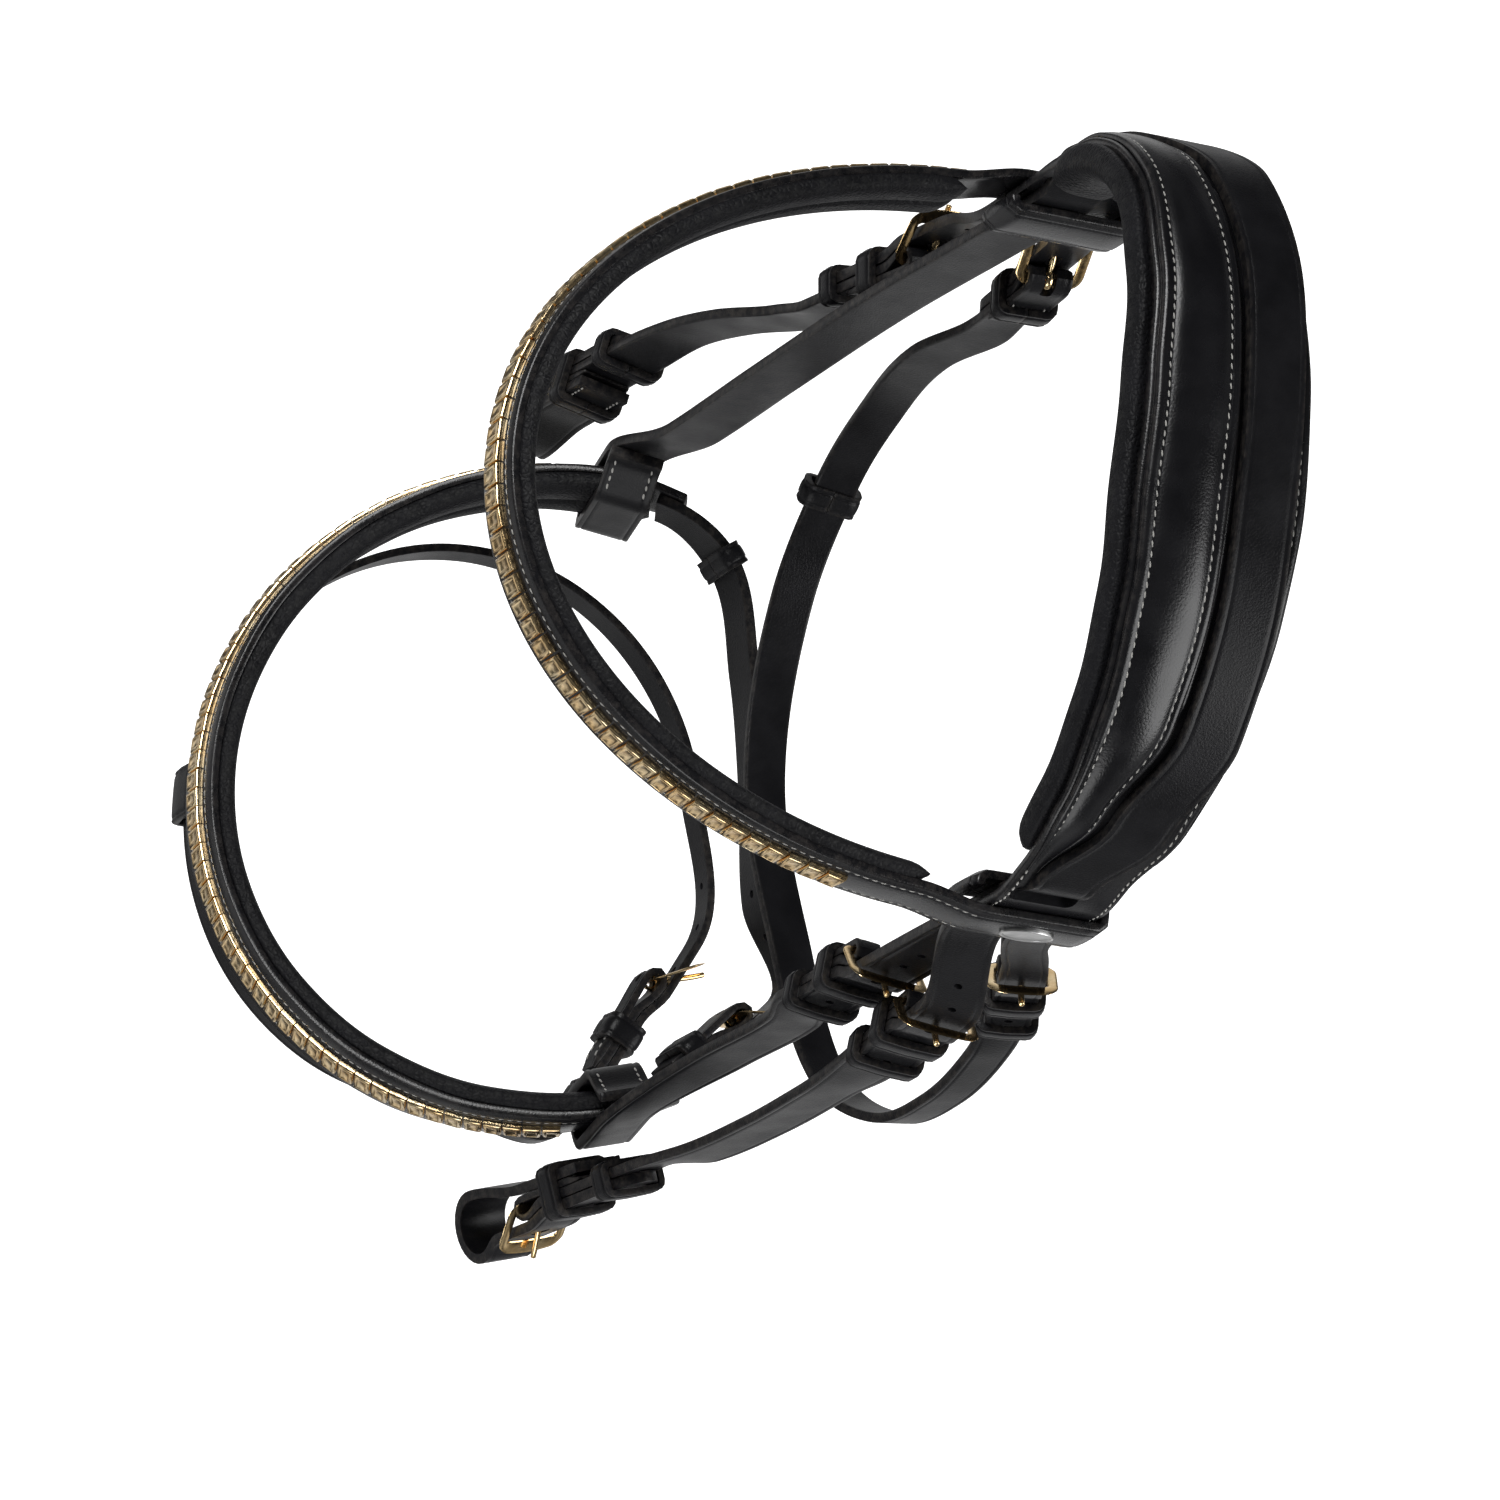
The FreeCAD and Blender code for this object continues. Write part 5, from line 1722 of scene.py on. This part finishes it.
# ---------------------------------------------------------------- browband
@dataclass
class Browband:
    """Clincher browband with a loop of its own leather round each end of the crown."""

    shop: Workshop
    angles: Sequence[float] = (-72, -54, -36, -18, 0, 18, 36, 54, 72)
    gold: Pair = (-86.0, 76.0)
    loop_corner: float = 2.2
    body: str = "browband"

    @staticmethod
    def place(angle: float) -> Place:
        """Place on the browband."""
        front = CROWN_END_Y - SIZE.loop_half - SIZE.loop_wall
        centre = Vector((0, front - SIZE.lay_gap, -SIZE.brow_drop))
        return ring_place(angle, centre, SIZE.head_half + 6.0, SIZE.brow_reach, 0.0)

    def loop_cuts(self, side: Side) -> list[Cut]:
        """From the band's end round the crown's end and back to the front, inside."""
        s, r = side.sign, self.loop_corner
        inner = (SIZE.crown_end_x - SIZE.crown_thick / 2 - SIZE.lay_gap - SIZE.strap_thick
                 - SIZE.lay_gap - SIZE.loop_wall / 2)
        outer = SIZE.crown_end_x + SIZE.crown_thick / 2 + SIZE.lay_gap + SIZE.loop_wall / 2
        front = CROWN_END_Y - SIZE.loop_half - SIZE.loop_wall / 2
        rear = CROWN_END_Y + SIZE.loop_half + SIZE.loop_wall / 2
        rows = [(outer, front + 4.5, OUT, AHEAD), (outer, rear - r, OUT, AHEAD),
                (outer - r, rear, BACK, OUT), (inner + r, rear, BACK, OUT),
                (inner, rear - r, IN, BACK), (inner, front + r, IN, BACK),
                (inner + r, front, AHEAD, IN), (inner + r + 1.2, front, AHEAD, IN)]
        cuts = []
        for x, y, along, out in rows:
            place = Place(Vector((s * x, y, -SIZE.brow_drop)),
                          Vector((s * along[0], along[1], 0)), Vector((s * out[0], out[1], 0)))
            cuts.append(plain(place, SIZE.brow_width, SIZE.brow_thick))
        return cuts

    def build(self) -> None:
        """Make the band with its loops, the lining, the clinchers, the stitches and the plate."""
        w, t = SIZE.brow_width, SIZE.brow_thick
        far = backwards(self.loop_cuts(Side.FAR))
        band = [plain(self.place(angle), w, t) for angle in (-84, *self.angles, 84)]
        way = Way(far + band + self.loop_cuts(Side.NEAR))
        blank = Blank(way.length, w, t, creased(w, 3.3, 0.3, 0.35, 0.5), edge_round=1.0)
        self.shop.dress(blank.lay("browband_outer", way), Slot.POLISHED, self.body,
                        ["browband_leather", "near_browband_loop", "far_browband_loop"])
        first, last = way.marks[len(far) - 1] + 2.0, way.marks[len(far) + len(band)] - 3.0
        self.shop.sew("browband_stitches", both_sides(way, first, last, 0.66, -0.2), self.body)
        end = 90
        band_way = Way([plain(self.place(a), w, t) for a in range(-end, end + 1, 6)])
        self.shop.clinchers(self.body, band_way, *lengths_at(self.place, end, self.gold))
        self.lining()
        self.plate()

    def lining(self) -> None:
        """The stuffed lining behind the band."""
        offset = -(SIZE.brow_thick + SIZE.brow_pad) / 2 - 0.05
        width = SIZE.brow_width + 2.5
        way = Way([plain(self.place(angle), width, SIZE.brow_pad, 0, offset)
                   for angle in (-85, *self.angles, 85)])
        self.shop.lining("browband_lining_rolls", way, width, SIZE.brow_pad, (0.9, 0.8, 1.5), 4.0,
                         self.body, "browband_padding", 0.8)

    def plate(self) -> None:
        """A plain oval plate on the near loop."""
        radius, thick, stretch = 5.0, 1.1, 1.5
        x = SIZE.crown_end_x + SIZE.crown_thick / 2 + SIZE.lay_gap + SIZE.loop_wall + 0.05
        place = Place(Vector((x, CROWN_END_Y, -SIZE.brow_drop)), UP, Vector((1, 0, 0)))
        clear_selection()
        bpy.ops.mesh.primitive_cylinder_add(vertices=40, radius=radius * MM, depth=thick * MM,
                                            location=(0, 0, thick / 2 * MM))
        piece = start_piece("loop_plate")
        settle_size()
        edit_all(piece)
        bpy.ops.transform.resize(value=(1.0, stretch, 1.0))
        end_edit()
        select_parts(piece, "FACE", lambda face: face.normal.z > 0.9)
        bpy.ops.mesh.inset(thickness=0.7 * MM, depth=0.0)
        bpy.ops.mesh.inset(thickness=0.35 * MM, depth=-0.3 * MM)
        end_edit()
        round_edges(piece, 0.2, 2, 40)
        write_points(piece, carry(read_points(piece), place.matrix()))
        smooth(piece, 30.0)
        self.shop.settle(piece, [self.shop.finishes.plate], Slot.PLATE, self.body,
                         ["browband_badge"])


# ---------------------------------------------------------------- noseband
@dataclass
class Noseband:
    """Padded clincher noseband with its chin strap and the loop for the flash strap."""

    TILT = 0.405
    LOOP_ANGLE = 102.0
    PAD_ANGLE = 108.5
    END_ANGLE = 114
    GOLD_ANGLE = 94.0

    shop: Workshop
    chin_tip: float = 29.0
    body: str = "noseband"

    @staticmethod
    def place(angle: float) -> Place:
        """Place on the noseband."""
        centre = Vector((0, -30.0, -SIZE.nose_drop - 7.5))
        return ring_place(angle, centre, SIZE.head_half + 6.5, SIZE.nose_reach - 3.0,
                          Noseband.TILT, 2.5)

    def build(self) -> None:
        """Make the band, its lining, clinchers and stitches, then the straps behind it."""
        inner = [a * self.LOOP_ANGLE / 5 for a in range(-5, 6)]
        w, t, end = SIZE.nose_width - 1, SIZE.nose_thick, self.END_ANGLE
        widths = [15.0] + [w] * len(inner) + [15.0]
        way = Way([plain(self.place(a), width, t) for a, width in zip((-end, *inner, end), widths)])
        blank = Blank(way.length, w, t, creased(w, 4.6, 0.3, 0.35, 0.5), edge_round=1.0)
        self.shop.dress(blank.lay("noseband_outer", way), Slot.POLISHED, self.body,
                        ["noseband_leather"])
        rows = both_sides(way, way.marks[1] + 9.0, way.marks[-2] - 9.0, 0.6, -0.2)
        self.shop.sew("noseband_stitches", rows, self.body)
        band_way = Way([plain(self.place(a), w, t) for a in range(-end, end + 1, 6)])
        gold = lengths_at(self.place, end, (-self.GOLD_ANGLE, self.GOLD_ANGLE))
        self.shop.clinchers(self.body, band_way, *gold)
        self.lining(inner)
        self.chin()
        self.flash_loop()

    def lining(self, inner: Sequence[float]) -> None:
        """The stuffed lining inside the band."""
        offset = -(SIZE.nose_thick + SIZE.nose_pad) / 2 - 0.05
        full = SIZE.nose_width + 1.0
        angles = (-self.PAD_ANGLE, *inner, self.PAD_ANGLE)
        widths = [18.0] + [full] * len(inner) + [18.0]
        way = Way([plain(self.place(angle), width, SIZE.nose_pad, 0, offset)
                   for angle, width in zip(angles, widths)])
        self.shop.lining("noseband_lining_rolls", way, full, SIZE.nose_pad, (0.9, 0.86, 2.0), 4.0,
                         self.body, "noseband_padding", 0.85)

    def chin(self) -> None:
        """The short chin strap with the buckle and the long billet from the far side."""
        w, t = SIZE.strap_width, SIZE.strap_thick
        angle = self.PAD_ANGLE + 1
        inside = -(SIZE.nose_thick + t) / 2 - SIZE.lay_gap
        near_tab = self.place(angle).moved(0, 0, inside)
        far_tab = self.place(-angle).moved(0, 0, inside)
        heel = Place(near_tab.at + Vector((-27.0, 25.0, -1.0)), Vector((27.0, -25.0, 1.0)),
                     Vector((0.7, 0.7, 0)))
        short = Way(fold_cuts(heel, w, t)[1:-1]
                    + [plain(heel, w, t, 24.0), plain(near_tab.reversed(), 14, t)])
        blank = Blank(short.length, w, t, creased(w), slots=[fold_slot(short, FOLD_BEND - 1)])
        self.shop.dress(blank.lay("chin_strap_leather", short), Slot.STRAP, self.body,
                        ["chin_strap"])
        rear_z = heel.at.z - 2
        half = SIZE.head_half + 6.5
        points = [Vector((-half * 0.78, 17.0, rear_z + 2)), Vector((-half * 0.45, 27.0, rear_z)),
                  Vector((-half * 0.1, 32.0, rear_z)), Vector((half * 0.25, 35.0, rear_z + 1))]
        outs = [Vector((p.x * 0.5, 60, 0)) for p in points]
        middle = through(points, outs, w, t, far_tab.at, heel.point(-16, 0, SIZE.over_fold(t)))
        long = Way([plain(far_tab.reversed(), 14, t)] + middle
                   + billet_cuts(heel, w, t, self.chin_tip))
        over = long.marks[-4]
        blank = Blank(long.length, w, t, creased(w), tips=(0.0, 10.0), slots=[prong_slot(over)],
                      holes=[over - 24, over - 38, over - 52])
        self.shop.dress(blank.lay("chin_billet_leather", long), Slot.STRAP, self.body,
                        ["chin_billet"])
        self.shop.buckle("chin", heel, w, t, self.body)
        self.shop.keeper("chin_keeper_loop", heel, w, t, self.body, ["chin_keeper"])
        self.shop.loop("chin_far_keeper_loop", middle[0].place, -SIZE.runner_length / 2, w, t / 2,
                       t / 2, SIZE.runner_length, self.body, ["chin_far_keeper"])

    def flash_loop(self) -> None:
        """The loop under the middle of the noseband that the flash strap runs through."""
        loop = LeatherLoop(SIZE.flash_width / 2 + Flash.LOOP_GAP,
                           -SIZE.flash_thick / 2 - Flash.LOOP_GAP,
                           SIZE.flash_thick / 2 + Flash.LOOP_GAP, SIZE.strap_width,
                           Flash.LOOP_WALL)
        piece = loop.make("flash_loop_leather", Flash.place(0).moved(-SIZE.strap_width / 2))
        self.shop.dress(piece, Slot.STRAP, self.body, ["flash_loop"])


# ---------------------------------------------------------------- cheekpieces
@dataclass(frozen=True)
class CheekHang:
    """How one cheekpiece hangs: heel bars, leans and turns of its buckles, and its way."""

    heel: Three
    lean: Three
    turn: float
    path: Sequence[Three]
    bit: Three
    bit_lean: Three
    bit_turn: float


@dataclass
class Cheekpiece:
    """Cheek billet from the crown, cheek strap, and the bit billet in its loop."""

    shop: Workshop
    side: Side
    hang: CheekHang
    tip: float = 52.0
    bit_tip: float = 58.0

    @property
    def body(self) -> str:
        """The body that it swings with."""
        return f"{self.side.value}_cheekpiece"

    def bit_cuts(self, lower: Place) -> list[Cut]:
        """Sewn on inside, down round the bit's loop and up through the buckle."""
        w, t, radius = SIZE.strap_width, SIZE.strap_thick, SIZE.bit_loop_radius
        inner = -t / 2 - SIZE.turn_thick - SIZE.lay_gap - t / 2
        centre = -SIZE.buckle_reach - 15.0
        rows = [(34, inner, BACK, IN), (14, inner, BACK, IN), (2, -SIZE.over_fold(t), BACK, IN),
                (centre, -radius, BACK, IN), (centre - radius, 0, OUT, BACK),
                (centre, radius, AHEAD, OUT)]
        cuts = [plain(lower.turned(*row), w, t) for row in rows]
        return cuts + billet_cuts(lower, w, t, self.bit_tip)

    def build(self) -> None:
        """Make the billet, the strap, the bit billet and their hardware."""
        w, t = SIZE.strap_width, SIZE.strap_thick
        name, s, hang = self.side.value, self.side.sign, self.hang
        upper = Place(Vector(hang.heel), Vector(hang.lean), out_of(s, hang.turn))
        lower = Place(Vector(hang.bit), Vector(hang.bit_lean), out_of(s, hang.bit_turn))
        self.billet(upper)
        length = hang.bit[2] - hang.heel[2]
        cheek_x = SIZE.crown_end_x + 8.5
        points = [upper.point(FREE_AT)]
        points += [Vector((s * (cheek_x + x), y, hang.heel[2] + length * share))
                   for x, y, share in hang.path]
        points.append(lower.point(FREE_AT))
        outs = [out_of(s, (hang.turn + hang.bit_turn) / 2)] * len(points)
        cuts = fold_cuts(upper, w, t) + [plain(upper, w, t, FREE_AT)]
        cuts += through(points, outs, w, t)[1:-1]
        cuts += backwards(fold_cuts(lower, w, t) + [plain(lower, w, t, FREE_AT)])
        way = Way(cuts)
        last = len(cuts) - 1
        blank = Blank(way.length, w, t, creased(w),
                      slots=[fold_slot(way, FOLD_BEND), fold_slot(way, last - FOLD_BEND)])
        self.shop.dress(blank.lay(f"{name}_cheek_leather", way), Slot.STRAP, self.body,
                        [f"{name}_cheek_strap"])
        rows = fold_rows(way, 0, FOLD_TOP, 1) + fold_rows(way, last, last - FOLD_TOP, -1)
        self.shop.sew(f"{name}_cheek_stitches", rows, self.body)
        self.shop.buckle(f"{name}_cheek", upper, w, t, self.body)
        self.shop.keeper(f"{name}_cheek_keeper_loop", upper, w, t, self.body,
                         [f"{name}_cheek_keeper"])
        self.shop.runner(f"{name}_cheek_runner_loop", upper, w, t, 38, f"{name}_cheek_runner",
                         [f"{name}_cheek_runner"])
        self.bit_billet(lower)

    def billet(self, upper: Place) -> None:
        """The billet that grows out of the crown's leather."""
        w, t, s = SIZE.strap_width, SIZE.strap_thick, self.side.sign
        name = self.side.value
        y = CROWN_END_Y - SIZE.crown_end_width / 2 + w / 2
        tops = [Vector((s * SIZE.crown_end_x, y, z)) for z in (LEATHER_END_Z, CROWN_END_Z - 0.4)]
        way = Way([plain(Place(top, UP * -1, out_of(s)), w, t) for top in tops]
                  + billet_cuts(upper, w, t, self.tip))
        over = way.marks[3]
        blank = Blank(way.length, w, t, creased(w), tips=(0.0, 11.0), slots=[prong_slot(over)],
                      holes=[over - 24, over - 36, over + 26, over + 38])
        bend = ("headpiece", tops[0] + Vector((0, 0, -2)), tops[1] + Vector((0, 0, -18)))
        self.shop.dress(blank.lay(f"{name}_cheek_billet_leather", way), Slot.STRAP, self.body,
                        [f"{name}_cheek_billet"], bend)

    def bit_billet(self, lower: Place) -> None:
        """The billet round the bit's loop, its buckle and its two keepers."""
        w, t, name = SIZE.strap_width, SIZE.strap_thick, self.side.value
        way = Way(self.bit_cuts(lower))
        over = way.marks[7]
        blank = Blank(way.length, w, t, creased(w), tips=(0.0, 11.0), slots=[prong_slot(over)],
                      holes=[over + 24, over + 37])
        self.shop.dress(blank.lay(f"{name}_bit_billet_leather", way), Slot.STRAP, self.body,
                        [f"{name}_bit_billet"])
        self.shop.sew(f"{name}_bit_stitches", both_sides(way, 1.5, 19.0, 0.72), self.body)
        self.shop.buckle(f"{name}_bit", lower, w, t, self.body)
        self.shop.keeper(f"{name}_bit_keeper_loop", lower, w, t, self.body,
                         [f"{name}_bit_keepers"], t + SIZE.lay_gap)
        self.shop.runner(f"{name}_bit_second_loop", lower, w, t, 44, self.body, [])


# ---------------------------------------------------------------- throatlatch
@dataclass
class Throatlatch:
    """Narrow strap under the jaw, buckled to a billet on each side."""

    shop: Workshop
    heels: dict = field(default_factory=lambda: {
        Side.NEAR: ((23.0, 68.0), (0.04, 0.36, -1)), Side.FAR: ((11.0, 46.0), (-0.02, 0.1, -1))})
    path: Sequence[tuple[float, float, float, float]] = (
        (1, 6, 45, 85), (1, 12, 47, 50), (1, 12, 44, 20), (1, -2, 36, -4), (0.5, 1.8, 24, -14),
        (0, 1.5, 17, -22), (-0.5, -5.7, 19, -14), (-1, 11.1, 22, 8), (-1, -0.9, 20, 42),
        (-1, -2.9, 14, 90))
    tip: float = 48.0
    slid_at: float = 389.0
    slid_slack: float = 0.6
    body: str = "throatlatch"

    def build(self) -> None:
        """Make both billets, the long strap and the hardware."""
        w, t, free_at = SIZE.throat_width, SIZE.strap_thick, 52
        x = SIZE.crown_end_x - SIZE.over_fold(t) + 1.2
        places = {}
        for side, ((y, drop), lean) in self.heels.items():
            place = Place(Vector((side.sign * x, y, -(SIZE.brow_drop + drop))), Vector(lean),
                          out_of(side.sign))
            places[side] = place
            self.billet(side, place)
            name = side.value
            self.shop.buckle(f"{name}_throat", place, w, t, self.body)
            self.shop.keeper(f"{name}_throat_keeper_loop", place, w, t, self.body,
                             [f"{name}_throat_keeper"])
        near, far = places[Side.NEAR], places[Side.FAR]
        points = [near.point(free_at)]
        points += [Vector((x * share + dx, y, z - SIZE.throat_drop))
                   for share, dx, y, z in self.path]
        points.append(far.point(free_at))
        outs = [Vector((p.x, 0.15 * abs(p.x), min(0.0, p.z + SIZE.throat_drop - 20)))
                for p in points]
        free = through(points, outs, w, t, near.point(40), far.point(40))
        free[0] = plain(near, w, t, free_at)
        cuts = fold_cuts(near, w, t) + free + backwards(fold_cuts(far, w, t))
        way = Way(cuts)
        last = len(cuts) - 1
        blank = Blank(way.length, w, t, creased(w, 1.5),
                      slots=[fold_slot(way, FOLD_BEND), fold_slot(way, last - FOLD_BEND)])
        self.shop.dress(blank.lay("throat_strap_leather", way), Slot.STRAP, self.body,
                        ["throat_strap"])
        rows = fold_rows(way, 0, FOLD_TOP, 1) + fold_rows(way, last, last - FOLD_TOP, -1)
        self.shop.sew("throat_stitches", rows, self.body)
        self.shop.runner("near_throat_runner_loop", near, w, t, 38, "near_throat_runner",
                         ["near_throat_runner"])
        self.slid_runner(way)

    def slid_runner(self, way: Way) -> None:
        """The far side's runner, pushed down the strap out of the way."""
        w, t, slack = SIZE.throat_width, SIZE.strap_thick, self.slid_slack
        loop = LeatherLoop(w / 2 + slack, -t / 2 - slack, t / 2 + 2 * slack, SIZE.runner_length)
        piece = loop.make("far_throat_slid_runner_loop", way.place(self.slid_at))
        self.shop.dress(piece, Slot.STRAP, self.body)

    def billet(self, side: Side, place: Place) -> None:
        """The billet that grows out of the rear of the crown's leather."""
        w, t, s = SIZE.throat_width, SIZE.strap_thick, side.sign
        wide = SIZE.crown_end_width - SIZE.strap_width - 6 * SIZE.lay_gap
        y = CROWN_END_Y + SIZE.crown_end_width / 2 - wide / 2
        tops = [Vector((s * SIZE.crown_end_x, y, z)) for z in (LEATHER_END_Z, CROWN_END_Z - 1.2)]
        way = Way([plain(Place(top, UP * -1, out_of(s)), wide, t) for top in tops]
                  + billet_cuts(place, w, t, self.tip))
        over = way.marks[3]
        blank = Blank(way.length, w, t, creased(w, 1.5), tips=(0.0, 10.0),
                      holes=[over + 23, over + 34], slots=[prong_slot(over)])
        bend = ("headpiece", tops[0] + Vector((0, 0, -2)), tops[1] + Vector((0, 0, -16)))
        self.shop.dress(blank.lay(f"{side.value}_throat_billet_leather", way), Slot.STRAP,
                        self.body, [f"{side.value}_throat_billet"], bend)


# ---------------------------------------------------------------- flash strap
@dataclass
class Flash:
    """The narrow strap below the noseband, buckled behind the jaw."""

    HALF = 84.0
    REACH = 74.0
    TILT = 0.2
    LOOP_GAP = 0.8
    LOOP_WALL = 2.4

    shop: Workshop
    heel_angle: float = 150.0
    tip: float = 48.0
    ring: Sequence[float] = (88, 60, 30, 0, -30, -60, -88, -116, -144, -168)
    body: str = "flash"

    @staticmethod
    def place(angle: float) -> Place:
        """Place on the flash strap, running from the near side to the far side."""
        nose = Noseband.place(0)
        bottom = nose.point(0, -SIZE.nose_width / 2, 0).z
        front_z = bottom - SIZE.lay_gap - Flash.LOOP_WALL - Flash.LOOP_GAP - SIZE.flash_width / 2
        stack = SIZE.nose_thick + SIZE.lay_gap + SIZE.nose_pad
        front_y = nose.point(0, 0, -stack / 2).y
        centre = Vector((0, front_y + Flash.REACH, front_z + Flash.REACH * Flash.TILT))
        return ring_place(angle, centre, Flash.HALF, Flash.REACH, Flash.TILT).reversed()

    def build(self) -> None:
        """Make the strap, its buckle, keeper and runner."""
        w, t = SIZE.flash_width, SIZE.flash_thick
        heel = self.place(self.heel_angle)
        way = Way(fold_cuts(heel, w, t) + [plain(heel, w, t, 52)]
                  + [plain(self.place(angle), w, t) for angle in self.ring]
                  + billet_cuts(heel, w, t, self.tip))
        over = way.marks[-4]
        blank = Blank(way.length, w, t, creased(w, 1.4), tips=(0.0, 9.0), hole_radius=1.1,
                      slots=[fold_slot(way, FOLD_BEND), prong_slot(over)],
                      holes=[over - 24, over - 37, over + 24, over + 35])
        self.shop.dress(blank.lay("flash_strap_leather", way), Slot.STRAP, self.body,
                        ["flash_strap"])
        self.shop.sew("flash_stitches", fold_rows(way, 0, FOLD_TOP, 1), self.body)
        self.shop.buckle("flash", heel, w, t, self.body)
        self.shop.keeper("flash_keeper_loop", heel, w, t, self.body, ["flash_keeper"])
        self.shop.runner("flash_runner_loop", heel, w, t, 38, "flash_runner", ["flash_runner"])


# ---------------------------------------------------------------- studio
@dataclass
class Studio:
    """Pale floor, soft lamps and the camera."""

    eye: Three = (0.6595, -0.8728, 1.8722)
    right: Three = (-0.0576, 0.9197, 0.3884)
    down: Three = (0.9607, 0.1568, -0.2289)
    forward: Three = (-0.2714, 0.3599, -0.8926)
    lens: float = 203.3
    sensor: float = 36.0
    floor_side: float = 12.0
    floor_glow: float = 0.85
    bounce: float = 0.3
    ceiling: float = 0.05

    def camera(self) -> None:
        """Look down along the head from the near side, with the nose to the left."""
        data = bpy.data.cameras.new("camera")
        data.lens = self.lens
        data.sensor_width = self.sensor
        camera = bpy.data.objects.new("camera", data)
        bpy.context.scene.collection.objects.link(camera)
        turn = Matrix((self.right, [-v for v in self.down], [-v for v in self.forward]))
        camera.matrix_world = Matrix.Translation(self.eye) @ turn.transposed().to_4x4()
        bpy.context.scene.camera = camera

    def lamp(self, name: str, at: Three, size: float, power: float) -> None:
        """A soft square lamp that points at the middle of the bridle."""
        data = bpy.data.lights.new(name, "AREA")
        data.size = size
        data.energy = power
        lamp = bpy.data.objects.new(name, data)
        bpy.context.scene.collection.objects.link(lamp)
        lamp.location = at
        aim = Vector((0, 0, -0.2)) - Vector(at)
        lamp.rotation_euler = aim.to_track_quat("-Z", "Y").to_euler()

    def floor(self) -> None:
        """A pale floor below the lowest strap."""
        clear_selection()
        lowest = MODEL_BOX[0][2] - 0.25
        bpy.ops.mesh.primitive_grid_add(x_subdivisions=8, y_subdivisions=8, size=self.floor_side,
                                        location=(0, 0, lowest))
        floor = start_piece("studio_floor")
        material, nodes, shader, where = new_material("pale floor")
        tint = nodes.mix(nodes.noise(where, 2.0, 2.0), (0.93, 0.93, 0.93), (0.95, 0.95, 0.95))
        nodes.fill(shader, {"Base Color": tint, "Roughness": 0.9, "Emission Color": tint,
                            "Emission Strength": self.floor_glow})
        floor.data.materials.append(material)
        floor.visible_glossy = False

    def surround(self) -> None:
        """White behind the bridle, and pale patches that its polish reflects."""
        world = bpy.data.worlds.new("surround")
        world.use_nodes = True
        nodes = Nodes(world.node_tree)
        seen = nodes.add("ShaderNodeLightPath").outputs["Is Camera Ray"]
        where = nodes.add("ShaderNodeTexCoord").outputs["Generated"]
        heading = nodes.add("ShaderNodeSeparateXYZ")
        nodes.feed(heading.inputs[0], where)
        patch = nodes.spread(nodes.noise(where, 2.6, 1.0), 0.42, 0.6, 0.2, 2.3)
        height = nodes.spread(heading.outputs["Z"], -0.5, 0.1, self.bounce, self.ceiling)
        glow = nodes.math("MAXIMUM", seen, nodes.math("MULTIPLY", patch, height))
        nodes.fill(world.node_tree.nodes["Background"], {"Color": (1.0, 1.0, 1.0),
                                                         "Strength": glow})
        bpy.context.scene.world = world

    def build(self) -> None:
        """Set the camera, the lamps, the pale surround and the floor."""
        self.camera()
        self.floor()
        self.lamp("key", (-0.8, -1.1, 1.2), 0.95, 27.0)
        self.lamp("rim", (0.8, 1.3, 0.9), 1.35, 24.0)
        self.lamp("fill", (1.6, -0.5, 0.1), 1.0, 9.0)
        self.surround()
        bpy.context.scene.view_settings.view_transform = "Standard"


CHEEK_X = SIZE.crown_end_x + 8.5
NEAR_HANG = CheekHang(
    heel=(CHEEK_X, 1.0, -(SIZE.brow_drop + 75.0)), lean=(0.04, 0.12, -1), turn=-8,
    path=[(3.5, 9.0, 0.36), (5.5, 8.0, 0.52), (7.5, 3.0, 0.67)],
    bit=(SIZE.crown_end_x + 18.0, -12.0, -SIZE.bit_drop - 16), bit_lean=(-0.05, 0.16, 1),
    bit_turn=18)
FAR_HANG = CheekHang(
    heel=(-CHEEK_X, -8.0, -(SIZE.brow_drop + 84.0)), lean=(-0.04, -0.1, -1), turn=-5,
    path=[(4.5, -16.0, 0.36), (9.0, -24.0, 0.48), (12.0, -29.0, 0.6)],
    bit=(-SIZE.crown_end_x - 24.0, -33.0, -SIZE.bit_drop + 14), bit_lean=(0.05, 0.02, 1),
    bit_turn=12)


def main() -> None:
    """Build the studio and every sub-assembly in order."""
    logging.basicConfig(level=logging.INFO, format="%(name)s: %(message)s")
    Studio().build()
    shop = Workshop(Finishes())
    Headpiece(shop).build()
    Browband(shop).build()
    Noseband(shop).build()
    Cheekpiece(shop, Side.NEAR, NEAR_HANG).build()
    Cheekpiece(shop, Side.FAR, FAR_HANG).build()
    Throatlatch(shop).build()
    Flash(shop).build()


if __name__ == "__main__":
    main()
